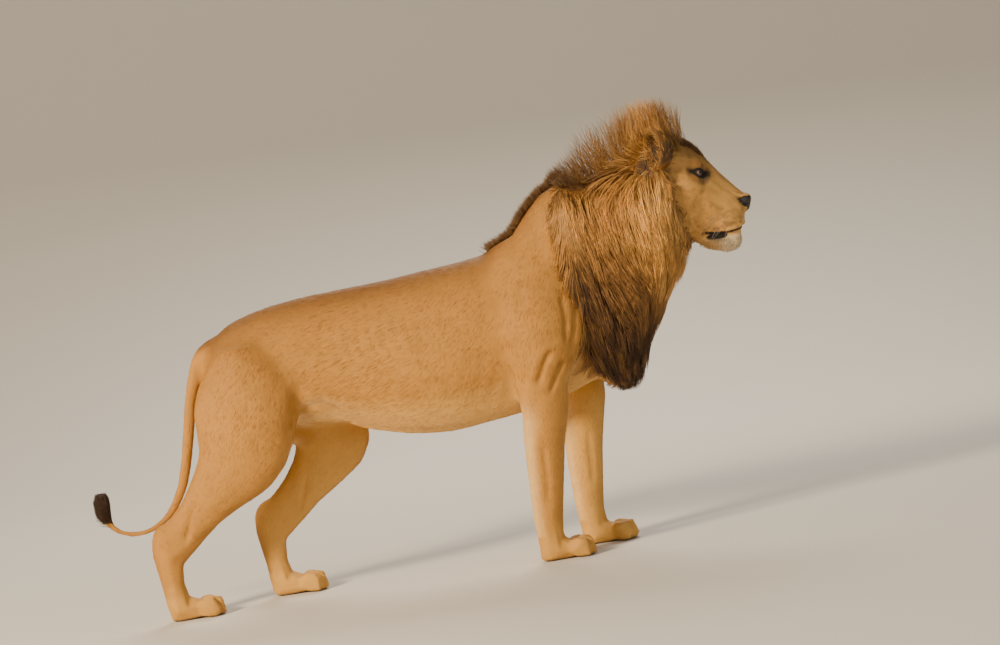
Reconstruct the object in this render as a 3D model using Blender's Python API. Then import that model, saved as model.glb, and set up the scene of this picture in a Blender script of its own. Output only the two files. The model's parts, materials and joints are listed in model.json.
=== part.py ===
"""A standing male African lion, life size, as a museum model in named pieces.

Metres, +X towards the nose, +Y to the animal's left, +Z up, soles on Z = 0. The body is drawn as
overlapping lofts and ellipsoids, fused into one skin, and then parted with simple cutters. While it
is drawn, X = 0 lies over the middle of the right forefoot; place_on_origin() moves the finished
pieces so that the origin is on the floor under the middle of the bounding box.
"""

import math

import bmesh
import bpy
import numpy as np
from mathutils import Matrix, Vector

# ---------------------------------------------------------------- driving sizes
RIGHT, LEFT = -1.0, 1.0
GAP = 0.0005                # clearance between neighbouring pieces
WELD = 0.00002              # points closer than this are one
VOXEL = 0.0085              # grain of the fused skin
RING = 28                   # points round a loft
CUTTER_RING = 9             # and round the lofts that only cut
FACE_CARE = 6e-3            # how much longer the face and feet are spared when it is thinned
SOLID_TRIANGLES = 2700      # budget for the whole fused skin
SMOOTHING = 12              # passes over the fused skin
FACE_X, FACE_Z = 0.60, (0.92, 1.34)     # where the face lies, which keeps more of its form
PAW_TOP = 0.10
SMALLEST_VOLUME = 1e-7

EYE_RADIUS = 0.0195
EYE_CENTRE = Vector((0.667, 0.0640, 1.213))
EAR_CENTRE = Vector((0.543, 0.119, 1.312))
EAR_HEIGHT, EAR_WIDTH, EAR_DEPTH = 0.150, 0.124, 0.050
EAR_TILT = 17.0             # degrees that the top of the ear leans forwards
EAR_WALL = 0.007

FORE_STRIDE = 0.150         # the left forefoot stands this far ahead of the right one
HIND_STRIDE = 0.345         # and the left hind foot this far ahead of the right one
PAW_LENGTH, PAW_WIDTH, PAW_HEIGHT = 0.205, 0.128, 0.084

TAWNY, PALE, BROWN = (0.52, 0.31, 0.13), (0.62, 0.45, 0.26), (0.30, 0.15, 0.06)
AMBER, BLACK = (0.45, 0.25, 0.06), (0.02, 0.017, 0.015)


# ---------------------------------------------------------------- scene and materials
def clear_scene():
    for thing in list(bpy.data.objects):
        bpy.data.objects.remove(thing)


def finish(name, colour, roughness):
    """A Principled material of one colour."""
    material = bpy.data.materials.new(name)
    material.use_nodes = True
    shader = material.node_tree.nodes["Principled BSDF"]
    shader.inputs["Base Color"].default_value = (*colour, 1.0)
    shader.inputs["Roughness"].default_value = roughness
    shader.inputs["Metallic"].default_value = 0.0
    return material


def add_object(name, mesh):
    thing = bpy.data.objects.new(name, mesh)
    bpy.context.scene.collection.objects.link(thing)
    return thing


def object_from(name, form):
    """An object that holds a bmesh, in triangles. The bmesh is freed."""
    bmesh.ops.triangulate(form, faces=form.faces)
    bmesh.ops.recalc_face_normals(form, faces=form.faces)
    mesh = bpy.data.meshes.new(name)
    form.to_mesh(mesh)
    form.free()
    return add_object(name, mesh)


def evaluated_copy(thing, name):
    """A new object with the modifiers of another one applied. The other one is removed."""
    bpy.context.view_layer.update()
    graph = bpy.context.evaluated_depsgraph_get()
    mesh = bpy.data.meshes.new_from_object(thing.evaluated_get(graph))
    mesh.name = name
    bpy.data.objects.remove(thing)
    return add_object(name, mesh)


# ---------------------------------------------------------------- lofts
def smooth_rows(rows, per_span=3):
    """Rows of numbers, with rows between them on a Catmull-Rom curve."""
    points = np.array(rows, float)
    padded = np.vstack([2 * points[0] - points[1], points, 2 * points[-1] - points[-2]])
    made = []
    for i in range(1, len(padded) - 2):
        before, start, end, after = padded[i - 1:i + 3]
        for t in np.arange(per_span) / per_span:
            made.append(0.5 * (2 * start + (end - before) * t
                               + (2 * before - 5 * start + 4 * end - after) * t ** 2
                               + (3 * start - before - 3 * end + after) * t ** 3))
    made.append(points[-1])
    return np.array(made)


def loft(form, rings):
    """Bridges closed rings of points, and closes both ends with a point in their middle."""
    loops = [[form.verts.new(point) for point in ring] for ring in rings]
    for near, far in zip(loops, loops[1:]):
        for i in range(len(near)):
            j = (i + 1) % len(near)
            form.faces.new((near[i], near[j], far[j], far[i]))
    for ring, order in ((loops[0], 1), (loops[-1], -1)):
        middle = form.verts.new(sum((v.co for v in ring), Vector()) / len(ring))
        for i in range(len(ring)):
            pair = (ring[i], ring[(i + 1) % len(ring)])[::order]
            form.faces.new((*pair[::-1], middle))


def slab_ring(x_top, z_top, x_low, z_low, half_width, taper, count):
    """A ring that spans a top and a bottom point. Taper above 0 makes it wider below."""
    angles = np.linspace(0, 2 * math.pi, count, endpoint=False)
    up, out = np.sin(angles), np.cos(angles)
    return [Vector(((x_top + x_low) / 2 + (x_top - x_low) / 2 * u,
                    half_width * o * (1 - taper * u),
                    (z_top + z_low) / 2 + (z_top - z_low) / 2 * u)) for u, o in zip(up, out)]


def slabs(form, rows, per_span=3, count=RING):
    """A loft through rings given by rows of x_top, z_top, x_low, z_low, half_width, taper."""
    loft(form, [slab_ring(*row, count) for row in smooth_rows(rows, per_span)])


def limb(form, rows, per_span=3, count=RING):
    """A loft along a path: rows of x, y, z, half depth across the path, half width along Y."""
    rows = smooth_rows(rows, per_span)
    angles = np.linspace(0, 2 * math.pi, count, endpoint=False)
    rings = []
    for i, (x, y, z, depth, width) in enumerate(rows):
        ahead, behind = rows[min(i + 1, len(rows) - 1)], rows[max(i - 1, 0)]
        along = Vector((ahead[0] - behind[0], 0, ahead[2] - behind[2])).normalized()
        across = Vector((along.z, 0, -along.x))
        rings.append([Vector((x, y, z)) + across * depth * math.cos(a) + Vector((0, width * math.sin(a), 0))
                      for a in angles])
    loft(form, rings)


def blob(form, centre, size, pitch=0.0, yaw=0.0, fineness=3):
    """An ellipsoid with these half sizes. Pitch lowers its +X end, yaw turns that end to +Y."""
    turn = Matrix.Rotation(math.radians(yaw), 4, "Z") @ Matrix.Rotation(math.radians(pitch), 4, "Y")
    bmesh.ops.create_icosphere(form, subdivisions=fineness, radius=1.0,
                               matrix=Matrix.Translation(centre) @ turn @ Matrix.Diagonal((*size, 1.0)))


TAIL = [                    # the path of the tail, shared by its form and its cutter
    # x      y       z     depth  width
    (-1.030, 0.000, 0.900, 0.040, 0.040),
    (-1.085, 0.000, 0.872, 0.036, 0.036),
    (-1.120, 0.000, 0.820, 0.030, 0.030),
    (-1.148, -0.004, 0.745, 0.027, 0.027),
    (-1.169, -0.010, 0.662, 0.026, 0.026),
    (-1.192, -0.018, 0.563, 0.025, 0.024),
    (-1.218, -0.024, 0.470, 0.024, 0.022),
    (-1.255, -0.028, 0.394, 0.022, 0.020),
    (-1.304, -0.030, 0.340, 0.019, 0.018),
    (-1.361, -0.030, 0.312, 0.017, 0.016),
    (-1.414, -0.030, 0.306, 0.016, 0.016),
    (-1.463, -0.030, 0.322, 0.016, 0.016),
    (-1.494, -0.030, 0.352, 0.019, 0.019),
    (-1.505, -0.030, 0.392, 0.026, 0.025),
    (-1.506, -0.030, 0.432, 0.027, 0.026),
    (-1.501, -0.030, 0.466, 0.014, 0.014),
]


# ---------------------------------------------------------------- the body's forms
def add_trunk(form):
    """Rump to breast, as upright rings: top, bottom, half width, and how much wider it is below."""
    slabs(form, [
        # x_top  z_top  x_low   z_low  half   taper
        (-1.095, 0.850, -1.095, 0.760, 0.045, 0.00),
        (-1.055, 0.915, -1.075, 0.690, 0.100, 0.05),
        (-0.985, 0.966, -1.030, 0.620, 0.134, 0.12),
        (-0.890, 0.996, -0.930, 0.585, 0.150, 0.14),
        (-0.780, 1.013, -0.790, 0.575, 0.152, 0.14),
        (-0.660, 1.022, -0.660, 0.560, 0.146, 0.14),
        (-0.540, 1.026, -0.540, 0.522, 0.154, 0.14),
        (-0.400, 1.032, -0.400, 0.487, 0.172, 0.12),
        (-0.270, 1.043, -0.270, 0.474, 0.186, 0.08),
        (-0.140, 1.054, -0.140, 0.484, 0.184, 0.00),
        (-0.020, 1.080, 0.000, 0.500, 0.174, -0.08),
        (0.060, 1.140, 0.130, 0.530, 0.164, -0.10),
        (0.150, 1.180, 0.240, 0.580, 0.154, -0.05),
        (0.260, 1.140, 0.310, 0.660, 0.130, 0.00),
        (0.330, 1.020, 0.340, 0.780, 0.080, 0.00),
    ])
    slabs(form, [  # the loose fold of belly skin between the flanks
        (-0.680, 0.640, -0.680, 0.575, 0.030, 0.0),
        (-0.560, 0.620, -0.560, 0.520, 0.060, 0.0),
        (-0.420, 0.600, -0.420, 0.484, 0.075, 0.0),
        (-0.300, 0.580, -0.300, 0.470, 0.070, 0.0),
        (-0.180, 0.580, -0.180, 0.480, 0.050, 0.0),
    ])


def add_neck(form):
    """The neck's own muscle, from between the shoulders to the back of the skull."""
    limb(form, [
        # x      y    z     depth  width
        (0.020, 0.0, 0.860, 0.215, 0.190),
        (0.120, 0.0, 0.960, 0.215, 0.185),
        (0.230, 0.0, 1.060, 0.195, 0.170),
        (0.340, 0.0, 1.150, 0.165, 0.150),
        (0.450, 0.0, 1.215, 0.135, 0.130),
        (0.540, 0.0, 1.245, 0.105, 0.110),
    ])


def add_mane(form):
    """The hair's envelope: crest over the nape, ruff round the face, and bib down the chest."""
    crest = [
        # x_tip  z_tip  x_root  z_root half   taper
        (0.660, 1.330, 0.615, 1.290, 0.040, 0.2),
        (0.669, 1.398, 0.600, 1.280, 0.062, 0.3),
        (0.660, 1.462, 0.575, 1.250, 0.080, 0.4),
        (0.602, 1.498, 0.530, 1.210, 0.096, 0.4),
        (0.540, 1.509, 0.480, 1.170, 0.105, 0.4),
        (0.455, 1.496, 0.430, 1.130, 0.110, 0.4),
        (0.375, 1.474, 0.380, 1.100, 0.112, 0.4),
        (0.304, 1.461, 0.330, 1.070, 0.112, 0.4),
        (0.250, 1.411, 0.285, 1.040, 0.110, 0.4),
        (0.218, 1.350, 0.245, 1.010, 0.108, 0.4),
        (0.155, 1.320, 0.190, 0.990, 0.102, 0.4),
        (0.090, 1.264, 0.130, 0.980, 0.092, 0.4),
        (0.036, 1.194, 0.080, 0.980, 0.074, 0.4),
        (-0.012, 1.134, 0.030, 0.990, 0.050, 0.3),
        (-0.060, 1.082, -0.030, 1.010, 0.025, 0.2),
    ]
    slabs(form, crest)
    limb(form, [  # hair down the sides of the neck
        (0.120, 0.0, 1.020, 0.150, 0.160),
        (0.220, 0.0, 1.090, 0.190, 0.188),
        (0.320, 0.0, 1.130, 0.200, 0.192),
        (0.420, 0.0, 1.170, 0.185, 0.186),
        (0.500, 0.0, 1.200, 0.140, 0.160),
    ])
    slabs(form, [  # the ruff, as level rings from the crown to its point under the throat
        (0.430, 1.330, 0.600, 1.330, 0.110, 0.0),
        (0.400, 1.250, 0.590, 1.250, 0.150, 0.0),
        (0.385, 1.150, 0.598, 1.150, 0.180, 0.0),
        (0.380, 1.050, 0.612, 1.050, 0.186, 0.0),
        (0.375, 0.970, 0.618, 0.970, 0.176, 0.0),
        (0.375, 0.900, 0.590, 0.900, 0.150, 0.0),
        (0.380, 0.840, 0.550, 0.840, 0.115, 0.0),
        (0.400, 0.790, 0.500, 0.790, 0.070, 0.0),
    ])
    slabs(form, [  # the bib, as level rings down the breast
        (0.160, 1.080, 0.560, 1.080, 0.176, 0.0),
        (0.165, 0.980, 0.560, 0.980, 0.182, 0.0),
        (0.185, 0.880, 0.540, 0.880, 0.180, 0.0),
        (0.195, 0.790, 0.492, 0.790, 0.172, 0.0),
        (0.200, 0.700, 0.450, 0.700, 0.152, 0.0),
        (0.205, 0.620, 0.410, 0.620, 0.124, 0.0),
        (0.230, 0.560, 0.400, 0.560, 0.092, 0.0),
        (0.275, 0.515, 0.380, 0.515, 0.045, 0.0),
    ])


def add_head(form):
    """Skull, muzzle and lower jaw, with the brows, cheeks and whisker pads that round them."""
    slabs(form, [
        # x_top  z_top  x_low   z_low  half   taper
        (0.824, 1.096, 0.806, 1.022, 0.024, 0.10),
        (0.821, 1.118, 0.801, 1.005, 0.042, 0.36),
        (0.806, 1.137, 0.788, 0.998, 0.056, 0.36),
        (0.780, 1.167, 0.760, 0.996, 0.064, 0.30),
        (0.751, 1.203, 0.726, 0.995, 0.068, 0.22),
        (0.723, 1.242, 0.690, 0.994, 0.079, 0.12),
        (0.695, 1.286, 0.654, 0.990, 0.096, 0.04),
        (0.655, 1.320, 0.614, 0.986, 0.114, 0.02),
        (0.602, 1.340, 0.570, 1.010, 0.120, 0.02),
        (0.540, 1.342, 0.530, 1.050, 0.110, 0.00),
        (0.480, 1.320, 0.480, 1.100, 0.085, 0.00),
    ])
    slabs(form, [  # lower jaw and chin
        (0.780, 1.006, 0.776, 0.968, 0.030, 0.0),
        (0.762, 1.010, 0.756, 0.947, 0.044, 0.0),
        (0.722, 1.016, 0.716, 0.938, 0.051, 0.0),
        (0.676, 1.026, 0.669, 0.952, 0.062, 0.0),
        (0.620, 1.055, 0.612, 0.985, 0.080, 0.0),
        (0.570, 1.090, 0.565, 1.020, 0.095, 0.0),
    ])
    slabs(form, [  # bridge of the nose
        (0.700, 1.278, 0.650, 1.200, 0.046, 0.0),
        (0.746, 1.212, 0.700, 1.150, 0.038, 0.0),
        (0.790, 1.156, 0.750, 1.100, 0.034, 0.0),
        (0.820, 1.118, 0.790, 1.080, 0.030, 0.0),
    ])
    for side in (RIGHT, LEFT):
        blob(form, (0.750, 0.036 * side, 1.036), (0.058, 0.041, 0.046), pitch=18, yaw=-6 * side)
        blob(form, (0.664, 0.046 * side, 1.247), (0.050, 0.040, 0.030), pitch=48, yaw=-12 * side)
        blob(form, (0.618, 0.064 * side, 1.160), (0.094, 0.058, 0.080), pitch=15, yaw=-16 * side)
        blob(form, (0.606, 0.060 * side, 1.080), (0.094, 0.056, 0.092), pitch=10, yaw=-10 * side)


def foreleg_path(side, ahead):
    """Shoulder to wrist. A leg that stands ahead slopes back up to its shoulder."""
    return [
        # x                    y             z     depth  width
        (0.085 + 0.11 * ahead, side * 0.110, 1.020, 0.090, 0.060),
        (0.078 + 0.17 * ahead, side * 0.130, 0.900, 0.140, 0.082),
        (0.065 + 0.22 * ahead, side * 0.143, 0.780, 0.150, 0.090),
        (0.045 + 0.40 * ahead, side * 0.152, 0.680, 0.126, 0.082),
        (0.036 + 0.80 * ahead, side * 0.152, 0.600, 0.096, 0.070),
        (0.032 + 0.88 * ahead, side * 0.148, 0.510, 0.085, 0.063),
        (0.014 + 0.91 * ahead, side * 0.143, 0.410, 0.075, 0.058),
        (0.002 + 0.91 * ahead, side * 0.139, 0.310, 0.069, 0.053),
        (-0.009 + 0.94 * ahead, side * 0.135, 0.210, 0.061, 0.050),
        (-0.017 + 0.96 * ahead, side * 0.135, 0.140, 0.055, 0.049),
        (-0.018 + 0.99 * ahead, side * 0.135, 0.085, 0.050, 0.050),
        (-0.010 + 0.99 * ahead, side * 0.135, 0.035, 0.046, 0.050),
    ]


def add_foreleg(form, side, ahead):
    limb(form, foreleg_path(side, ahead))
    paw(form, Vector((-0.072 + ahead, side * 0.135, 0.0)), turn=-4 * side)


def add_hind_leg(form, side, ahead):
    """Thigh, shank, hock and instep, over the hind foot. The hip stays where it is."""
    def shifted(x, share):
        return x + ahead * share
    y = side * 0.118
    limb(form, [
        # x                     y          z     depth  width
        (shifted(-0.960, 0.00), side * 0.080, 0.900, 0.080, 0.060),
        (shifted(-0.955, 0.10), side * 0.105, 0.800, 0.150, 0.090),
        (shifted(-0.965, 0.36), side * 0.122, 0.690, 0.182, 0.096),
        (shifted(-0.985, 0.68), side * 0.132, 0.590, 0.176, 0.088),
        (shifted(-1.030, 0.90), side * 0.134, 0.500, 0.150, 0.074),
        (shifted(-1.110, 1.00), side * 0.130, 0.420, 0.103, 0.060),
        (shifted(-1.185, 1.00), side * 0.124, 0.348, 0.078, 0.050),
        (shifted(-1.250, 1.00), y, 0.286, 0.074, 0.044),
        (shifted(-1.298, 1.00), y, 0.228, 0.058, 0.042),
    ])
    limb(form, [
        (shifted(-1.300, 1.00), y, 0.335, 0.030, 0.026),
        (shifted(-1.308, 1.00), y, 0.290, 0.054, 0.040),
        (shifted(-1.312, 1.00), y, 0.235, 0.056, 0.044),
        (shifted(-1.311, 1.00), y, 0.175, 0.049, 0.043),
        (shifted(-1.308, 1.00), y, 0.115, 0.043, 0.045),
        (shifted(-1.300, 1.00), y, 0.060, 0.044, 0.050),
        (shifted(-1.290, 1.00), y, 0.030, 0.044, 0.050),
    ])
    paw(form, Vector((-1.346 + ahead, y, 0.0)), turn=-3 * side, slim=0.93)


def paw(form, heel, turn=0.0, slim=1.0):
    """Heel pad and four toes, reaching a little below the floor, where they are cut flat."""
    local = bmesh.new()
    blob(local, (0.38 * PAW_LENGTH, 0.0, 0.42 * PAW_HEIGHT),
         (0.36 * PAW_LENGTH, 0.40 * PAW_WIDTH * slim, 0.50 * PAW_HEIGHT), pitch=8)
    blob(local, (0.24 * PAW_LENGTH, 0.0, 0.25 * PAW_HEIGHT),
         (0.22 * PAW_LENGTH, 0.34 * PAW_WIDTH * slim, 0.36 * PAW_HEIGHT))
    for reach, out in ((0.76, -0.36), (0.86, -0.13), (0.86, 0.13), (0.76, 0.36)):
        blob(local, ((reach - 0.06) * PAW_LENGTH, out * PAW_WIDTH * slim, 0.43 * PAW_HEIGHT),
             (0.19 * PAW_LENGTH, 0.150 * PAW_WIDTH * slim, 0.46 * PAW_HEIGHT), pitch=22, yaw=28 * out)
        blob(local, ((reach + 0.03) * PAW_LENGTH, out * 1.05 * PAW_WIDTH * slim, 0.23 * PAW_HEIGHT),
             (0.12 * PAW_LENGTH, 0.135 * PAW_WIDTH * slim, 0.34 * PAW_HEIGHT))
    local.transform(Matrix.Translation(heel) @ Matrix.Rotation(math.radians(turn), 4, "Z"))
    copy = bpy.data.meshes.new("paw")
    local.to_mesh(copy)
    local.free()
    form.from_mesh(copy)
    bpy.data.meshes.remove(copy)


def add_tail(form):
    """From the croup down behind the thighs, then back and up to the tuft."""
    limb(form, TAIL)


def fused_body():
    """All forms as one closed skin, smoothed, and thinned to the triangle budget."""
    form = bmesh.new()
    for add in (add_trunk, add_neck, add_mane, add_head, add_tail):
        add(form)
    add_foreleg(form, RIGHT, 0.0)
    add_foreleg(form, LEFT, FORE_STRIDE)
    add_hind_leg(form, RIGHT, 0.0)
    add_hind_leg(form, LEFT, HIND_STRIDE)
    body = object_from("body", form)
    remesh = body.modifiers.new("fuse", "REMESH")
    remesh.mode, remesh.voxel_size = "VOXEL", VOXEL
    body = evaluated_copy(body, "body")

    points = np.empty(len(body.data.vertices) * 3, np.float32)
    body.data.vertices.foreach_get("co", points)
    x, _, z = points.reshape(-1, 3).T
    face = (x > FACE_X) & (z > FACE_Z[0]) & (z < FACE_Z[1])
    paws = z < PAW_TOP
    weigh(body, "softness", np.where(face | paws, 0.4, 1.0))
    weigh(body, "thinning", np.where(paws, 0.5, np.where(face, 0.2, 1.0)))
    soften = body.modifiers.new("soften", "SMOOTH")
    soften.factor, soften.iterations, soften.vertex_group = 0.5, SMOOTHING, "softness"
    thin = body.modifiers.new("thin", "DECIMATE")
    thin.ratio = SOLID_TRIANGLES / sum(len(face.vertices) - 2 for face in body.data.polygons)
    thin.vertex_group, thin.vertex_group_factor = "thinning", FACE_CARE
    return evaluated_copy(body, "body")


def weigh(thing, name, weights):
    """A vertex group with one weight for each vertex."""
    group = thing.vertex_groups.new(name=name)
    for level in np.unique(weights):
        group.add(np.flatnonzero(weights == level).tolist(), float(level), "REPLACE")


# ---------------------------------------------------------------- cutters and carving
def box(x, y, z):
    """A block between pairs of coordinates."""
    form = bmesh.new()
    size = [b - a for a, b in (x, y, z)]
    middle = [(a + b) / 2 for a, b in (x, y, z)]
    bmesh.ops.create_cube(form, size=1.0, matrix=Matrix.Translation(middle) @ Matrix.Diagonal((*size, 1.0)))
    return object_from("cutter", form)


def beyond(point, towards, reach=0.5, wide=0.5, y=0.0):
    """A block whose near face passes through a point of the X-Z plane and faces away from 'towards'."""
    along = Vector((towards[0], 0.0, towards[1])).normalized()
    side = Vector((0, 1, 0))
    up = along.cross(side)
    turn = Matrix((along, side, up)).transposed().to_4x4()
    middle = Vector((point[0], y, point[1])) + along * reach / 2
    form = bmesh.new()
    bmesh.ops.create_cube(form, size=1.0, matrix=Matrix.Translation(middle) @ turn
                          @ Matrix.Diagonal((reach, wide, wide, 1.0)))
    return object_from("cutter", form)


def ball(centre, size, pitch=0.0, yaw=0.0, fineness=2):
    """An ellipsoid cutter."""
    form = bmesh.new()
    blob(form, centre, size, pitch, yaw, fineness)
    return object_from("cutter", form)


def plug(side, x, z, half_x, half_z, lean=0.0, inner=0.12):
    """An upright oval that reaches in from one side of the body. Lean tips its top forwards."""
    form = bmesh.new()
    turn = Matrix.Rotation(math.radians(lean), 4, "Y") @ Matrix.Rotation(math.radians(90), 4, "X")
    reach = 0.40 - inner
    bmesh.ops.create_cone(form, cap_ends=True, segments=11, radius1=1.0, radius2=1.0, depth=reach,
                          matrix=Matrix.Translation((x, side * (inner + reach / 2), z)) @ turn
                          @ Matrix.Diagonal((half_x, half_z, 1.0, 1.0)))
    return object_from("cutter", form)


def boolean(thing, cutter, operation):
    """The result of one exact Boolean, in place of the thing. The cutter stays."""
    name, before = thing.name, thing.data.copy()
    cutter.hide_render = True
    cutter.display_type = "WIRE"
    for careful in (False, True):
        step = thing.modifiers.new("cut", "BOOLEAN")
        step.object, step.operation, step.solver = cutter, operation, "EXACT"
        step.use_self, step.use_hole_tolerant = careful, True
        result = evaluated_copy(thing, name)
        weld(result)
        if is_sound(result) or careful:
            break
        bpy.data.objects.remove(result)
        thing = add_object(name, before)
    return result


def weld(thing):
    """Merges points that a cut has left on top of each other, and edges with no length."""
    form = bmesh.new()
    form.from_mesh(thing.data)
    bmesh.ops.remove_doubles(form, verts=form.verts, dist=WELD)
    bmesh.ops.dissolve_degenerate(form, edges=form.edges, dist=WELD)
    form.to_mesh(thing.data)
    form.free()


def is_sound(thing):
    """True if the mesh has a volume and every edge joins two faces."""
    form = bmesh.new()
    form.from_mesh(thing.data)
    sound = len(form.faces) > 3 and all(edge.is_manifold for edge in form.edges)
    sound = sound and form.calc_volume(signed=True) > SMALLEST_VOLUME
    form.free()
    return sound


def grown(cutter, amount):
    """A copy of a cutter, larger by an amount on every side."""
    mesh = cutter.data.copy()
    form = bmesh.new()
    form.from_mesh(mesh)
    form.normal_update()
    moves = [vert.normal * vert.calc_shell_factor() * amount for vert in form.verts]
    for vert, move in zip(form.verts, moves):
        vert.co += move
    form.to_mesh(mesh)
    form.free()
    return add_object("cutter", mesh)


def largest_body(thing):
    """Drops crumbs that a cut has left beside the main body."""
    form = bmesh.new()
    form.from_mesh(thing.data)
    left = set(form.verts)
    bodies = []
    while left:
        seed = left.pop()
        body, front = {seed}, [seed]
        while front:
            for edge in front.pop().link_edges:
                for vert in edge.verts:
                    if vert in left:
                        left.discard(vert)
                        body.add(vert)
                        front.append(vert)
        bodies.append(body)
    bodies.sort(key=len)
    for body in bodies[:-1]:
        bmesh.ops.delete(form, geom=list(body), context="VERTS")
    form.to_mesh(thing.data)
    form.free()


def part_off(stock, name, cutter):
    """Cuts a piece out of the stock. Returns what is left of the stock, and the piece."""
    piece = boolean(add_object(name, stock.data.copy()), cutter, "INTERSECT")
    wider = grown(cutter, GAP)
    rest = boolean(stock, wider, "DIFFERENCE")
    for used in (cutter, wider):
        bpy.data.objects.remove(used)
    largest_body(piece)
    largest_body(rest)
    return rest, piece


def clear_of(thing, neighbour, gap=GAP):
    """Cuts room for a neighbour into a thing."""
    room = grown(neighbour, gap)
    thing = boolean(thing, room, "DIFFERENCE")
    bpy.data.objects.remove(room)
    largest_body(thing)
    return thing


# ---------------------------------------------------------------- parting the body
def head_cutter():
    """All in front of the ruff's edge, and the skull behind it under the mane."""
    form = bmesh.new()
    slabs(form, [
        (0.980, 1.400, 0.980, 0.850, 0.250, 0.0),
        (0.700, 1.400, 0.700, 0.850, 0.250, 0.0),
        (0.612, 1.400, 0.640, 0.850, 0.250, 0.0),
        (0.604, 1.338, 0.616, 1.000, 0.116, 0.0),
        (0.560, 1.325, 0.560, 1.060, 0.110, 0.0),
        (0.500, 1.290, 0.500, 1.110, 0.090, 0.0),
        (0.450, 1.240, 0.450, 1.150, 0.050, 0.0),
    ], per_span=1, count=CUTTER_RING)
    return object_from("cutter", form)


def neck_cutter():
    """The short-haired base of the neck, and its core under the mane."""
    form = bmesh.new()
    slabs(form, [
        (-0.104, 1.230, 0.230, 0.780, 0.300, 0.0),
        (0.185, 1.400, 0.235, 0.790, 0.300, 0.0),
        (0.205, 1.180, 0.245, 0.960, 0.120, 0.0),
        (0.320, 1.220, 0.360, 1.040, 0.110, 0.0),
        (0.415, 1.240, 0.435, 1.120, 0.085, 0.0),
    ], per_span=1, count=CUTTER_RING)
    return object_from("cutter", form)


def crest_cutter():
    """All above the line where the short hair of the neck ends."""
    form = bmesh.new()
    slabs(form, [
        (-0.090, 1.700, -0.090, 1.052, 0.50, 0.0),
        (0.015, 1.700, 0.015, 1.090, 0.50, 0.0),
        (0.070, 1.700, 0.070, 1.160, 0.50, 0.0),
        (0.133, 1.700, 0.133, 1.219, 0.50, 0.0),
        (0.204, 1.700, 0.204, 1.244, 0.50, 0.0),
        (0.400, 1.700, 0.400, 1.290, 0.50, 0.0),
        (0.500, 1.700, 0.500, 1.328, 0.50, 0.0),
        (0.600, 1.700, 0.600, 1.341, 0.50, 0.0),
        (0.655, 1.700, 0.655, 1.326, 0.50, 0.0),
        (0.720, 1.700, 0.720, 1.300, 0.50, 0.0),
    ], per_span=1, count=CUTTER_RING)
    return object_from("cutter", form)


def tail_cutter():
    form = bmesh.new()
    wide = [(x, y, z, depth + 0.004, width + 0.004) for x, y, z, depth, width in TAIL[1:]]
    limb(form, wide, per_span=2, count=CUTTER_RING)
    return object_from("cutter", form)


def forearm_cutter(side, ahead):
    """The leg below the elbow, with room round it."""
    rows = [row for row in foreleg_path(side, ahead) if row[2] < 0.61]
    form = bmesh.new()
    limb(form, [(x, y, z, depth + 0.006, width + 0.006) for x, y, z, depth, width in rows],
         per_span=1, count=CUTTER_RING)
    return object_from("cutter", form)


def leg_box(side, x, z):
    """A block round one leg, out from the middle of the body."""
    y = sorted((0.30 * side, 0.0))
    return box(x, y, z)


def part_body(body):
    """Names the pieces one by one. Returns them all."""
    pieces = {}

    def take(name, cutter, stock=None):
        nonlocal body
        if stock is None:
            body, pieces[name] = part_off(body, name, cutter)
        else:
            pieces[stock], pieces[name] = part_off(pieces[stock], name, cutter)

    take("tail_base", tail_cutter())
    take("tail_middle", box((-1.7, -1.0), (-0.3, 0.3), (0.2, 0.700)), "tail_base")
    take("tail_curve", box((-1.7, -1.240), (-0.3, 0.3), (0.2, 0.600)), "tail_middle")
    take("tail_tuft", box((-1.7, -1.45), (-0.3, 0.3), (0.372, 0.6)), "tail_curve")
    take("mane_crest", crest_cutter())
    take("head", head_cutter())
    take("lower_jaw", beyond((0.730, 1.003), (-0.07, -1.0)), "head")
    take("neck", neck_cutter())
    take("mane_ruff", box((0.206, 0.9), (-0.4, 0.4), (0.930, 1.6)))
    for side, word, ahead in ((RIGHT, "right", 0.0), (LEFT, "left", FORE_STRIDE)):
        take("fore_paw_" + word, leg_box(side, (-0.2, 0.5), (-0.1, 0.088)))
        take("forearm_" + word, forearm_cutter(side, ahead))
        take("shoulder_" + word, plug(side, 0.075 + 0.15 * ahead, 0.800, 0.135, 0.225, 12, 0.115))
    take("mane_bib", beyond((0.218, 0.70), (1.0, 0.06), 0.5, 1.0))
    for side, word, ahead in ((RIGHT, "right", 0.0), (LEFT, "left", HIND_STRIDE)):
        take("hind_paw_" + word, leg_box(side, (-1.45 + ahead, -1.0 + ahead), (-0.1, 0.082)))
        take("instep_" + word, beyond((-1.250 + ahead, 0.318), (-0.60, -0.80), 0.5, 0.28, 0.16 * side))
        take("shank_" + word, leg_box(side, (-1.40 + ahead, -0.82 + 0.7 * ahead), (0.1, 0.500)))
        take("thigh_" + word, plug(side, -0.970 + 0.3 * ahead, 0.700, 0.180, 0.235, 10, 0.085))
    take("rump", box((-1.3, -0.760), (-0.4, 0.4), (0.3, 1.3)))
    take("belly", box((-0.9, -0.360), (-0.4, 0.4), (0.3, 1.3)))
    body.name = "chest"
    pieces["chest"] = body
    set_features(pieces)
    return pieces


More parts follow.
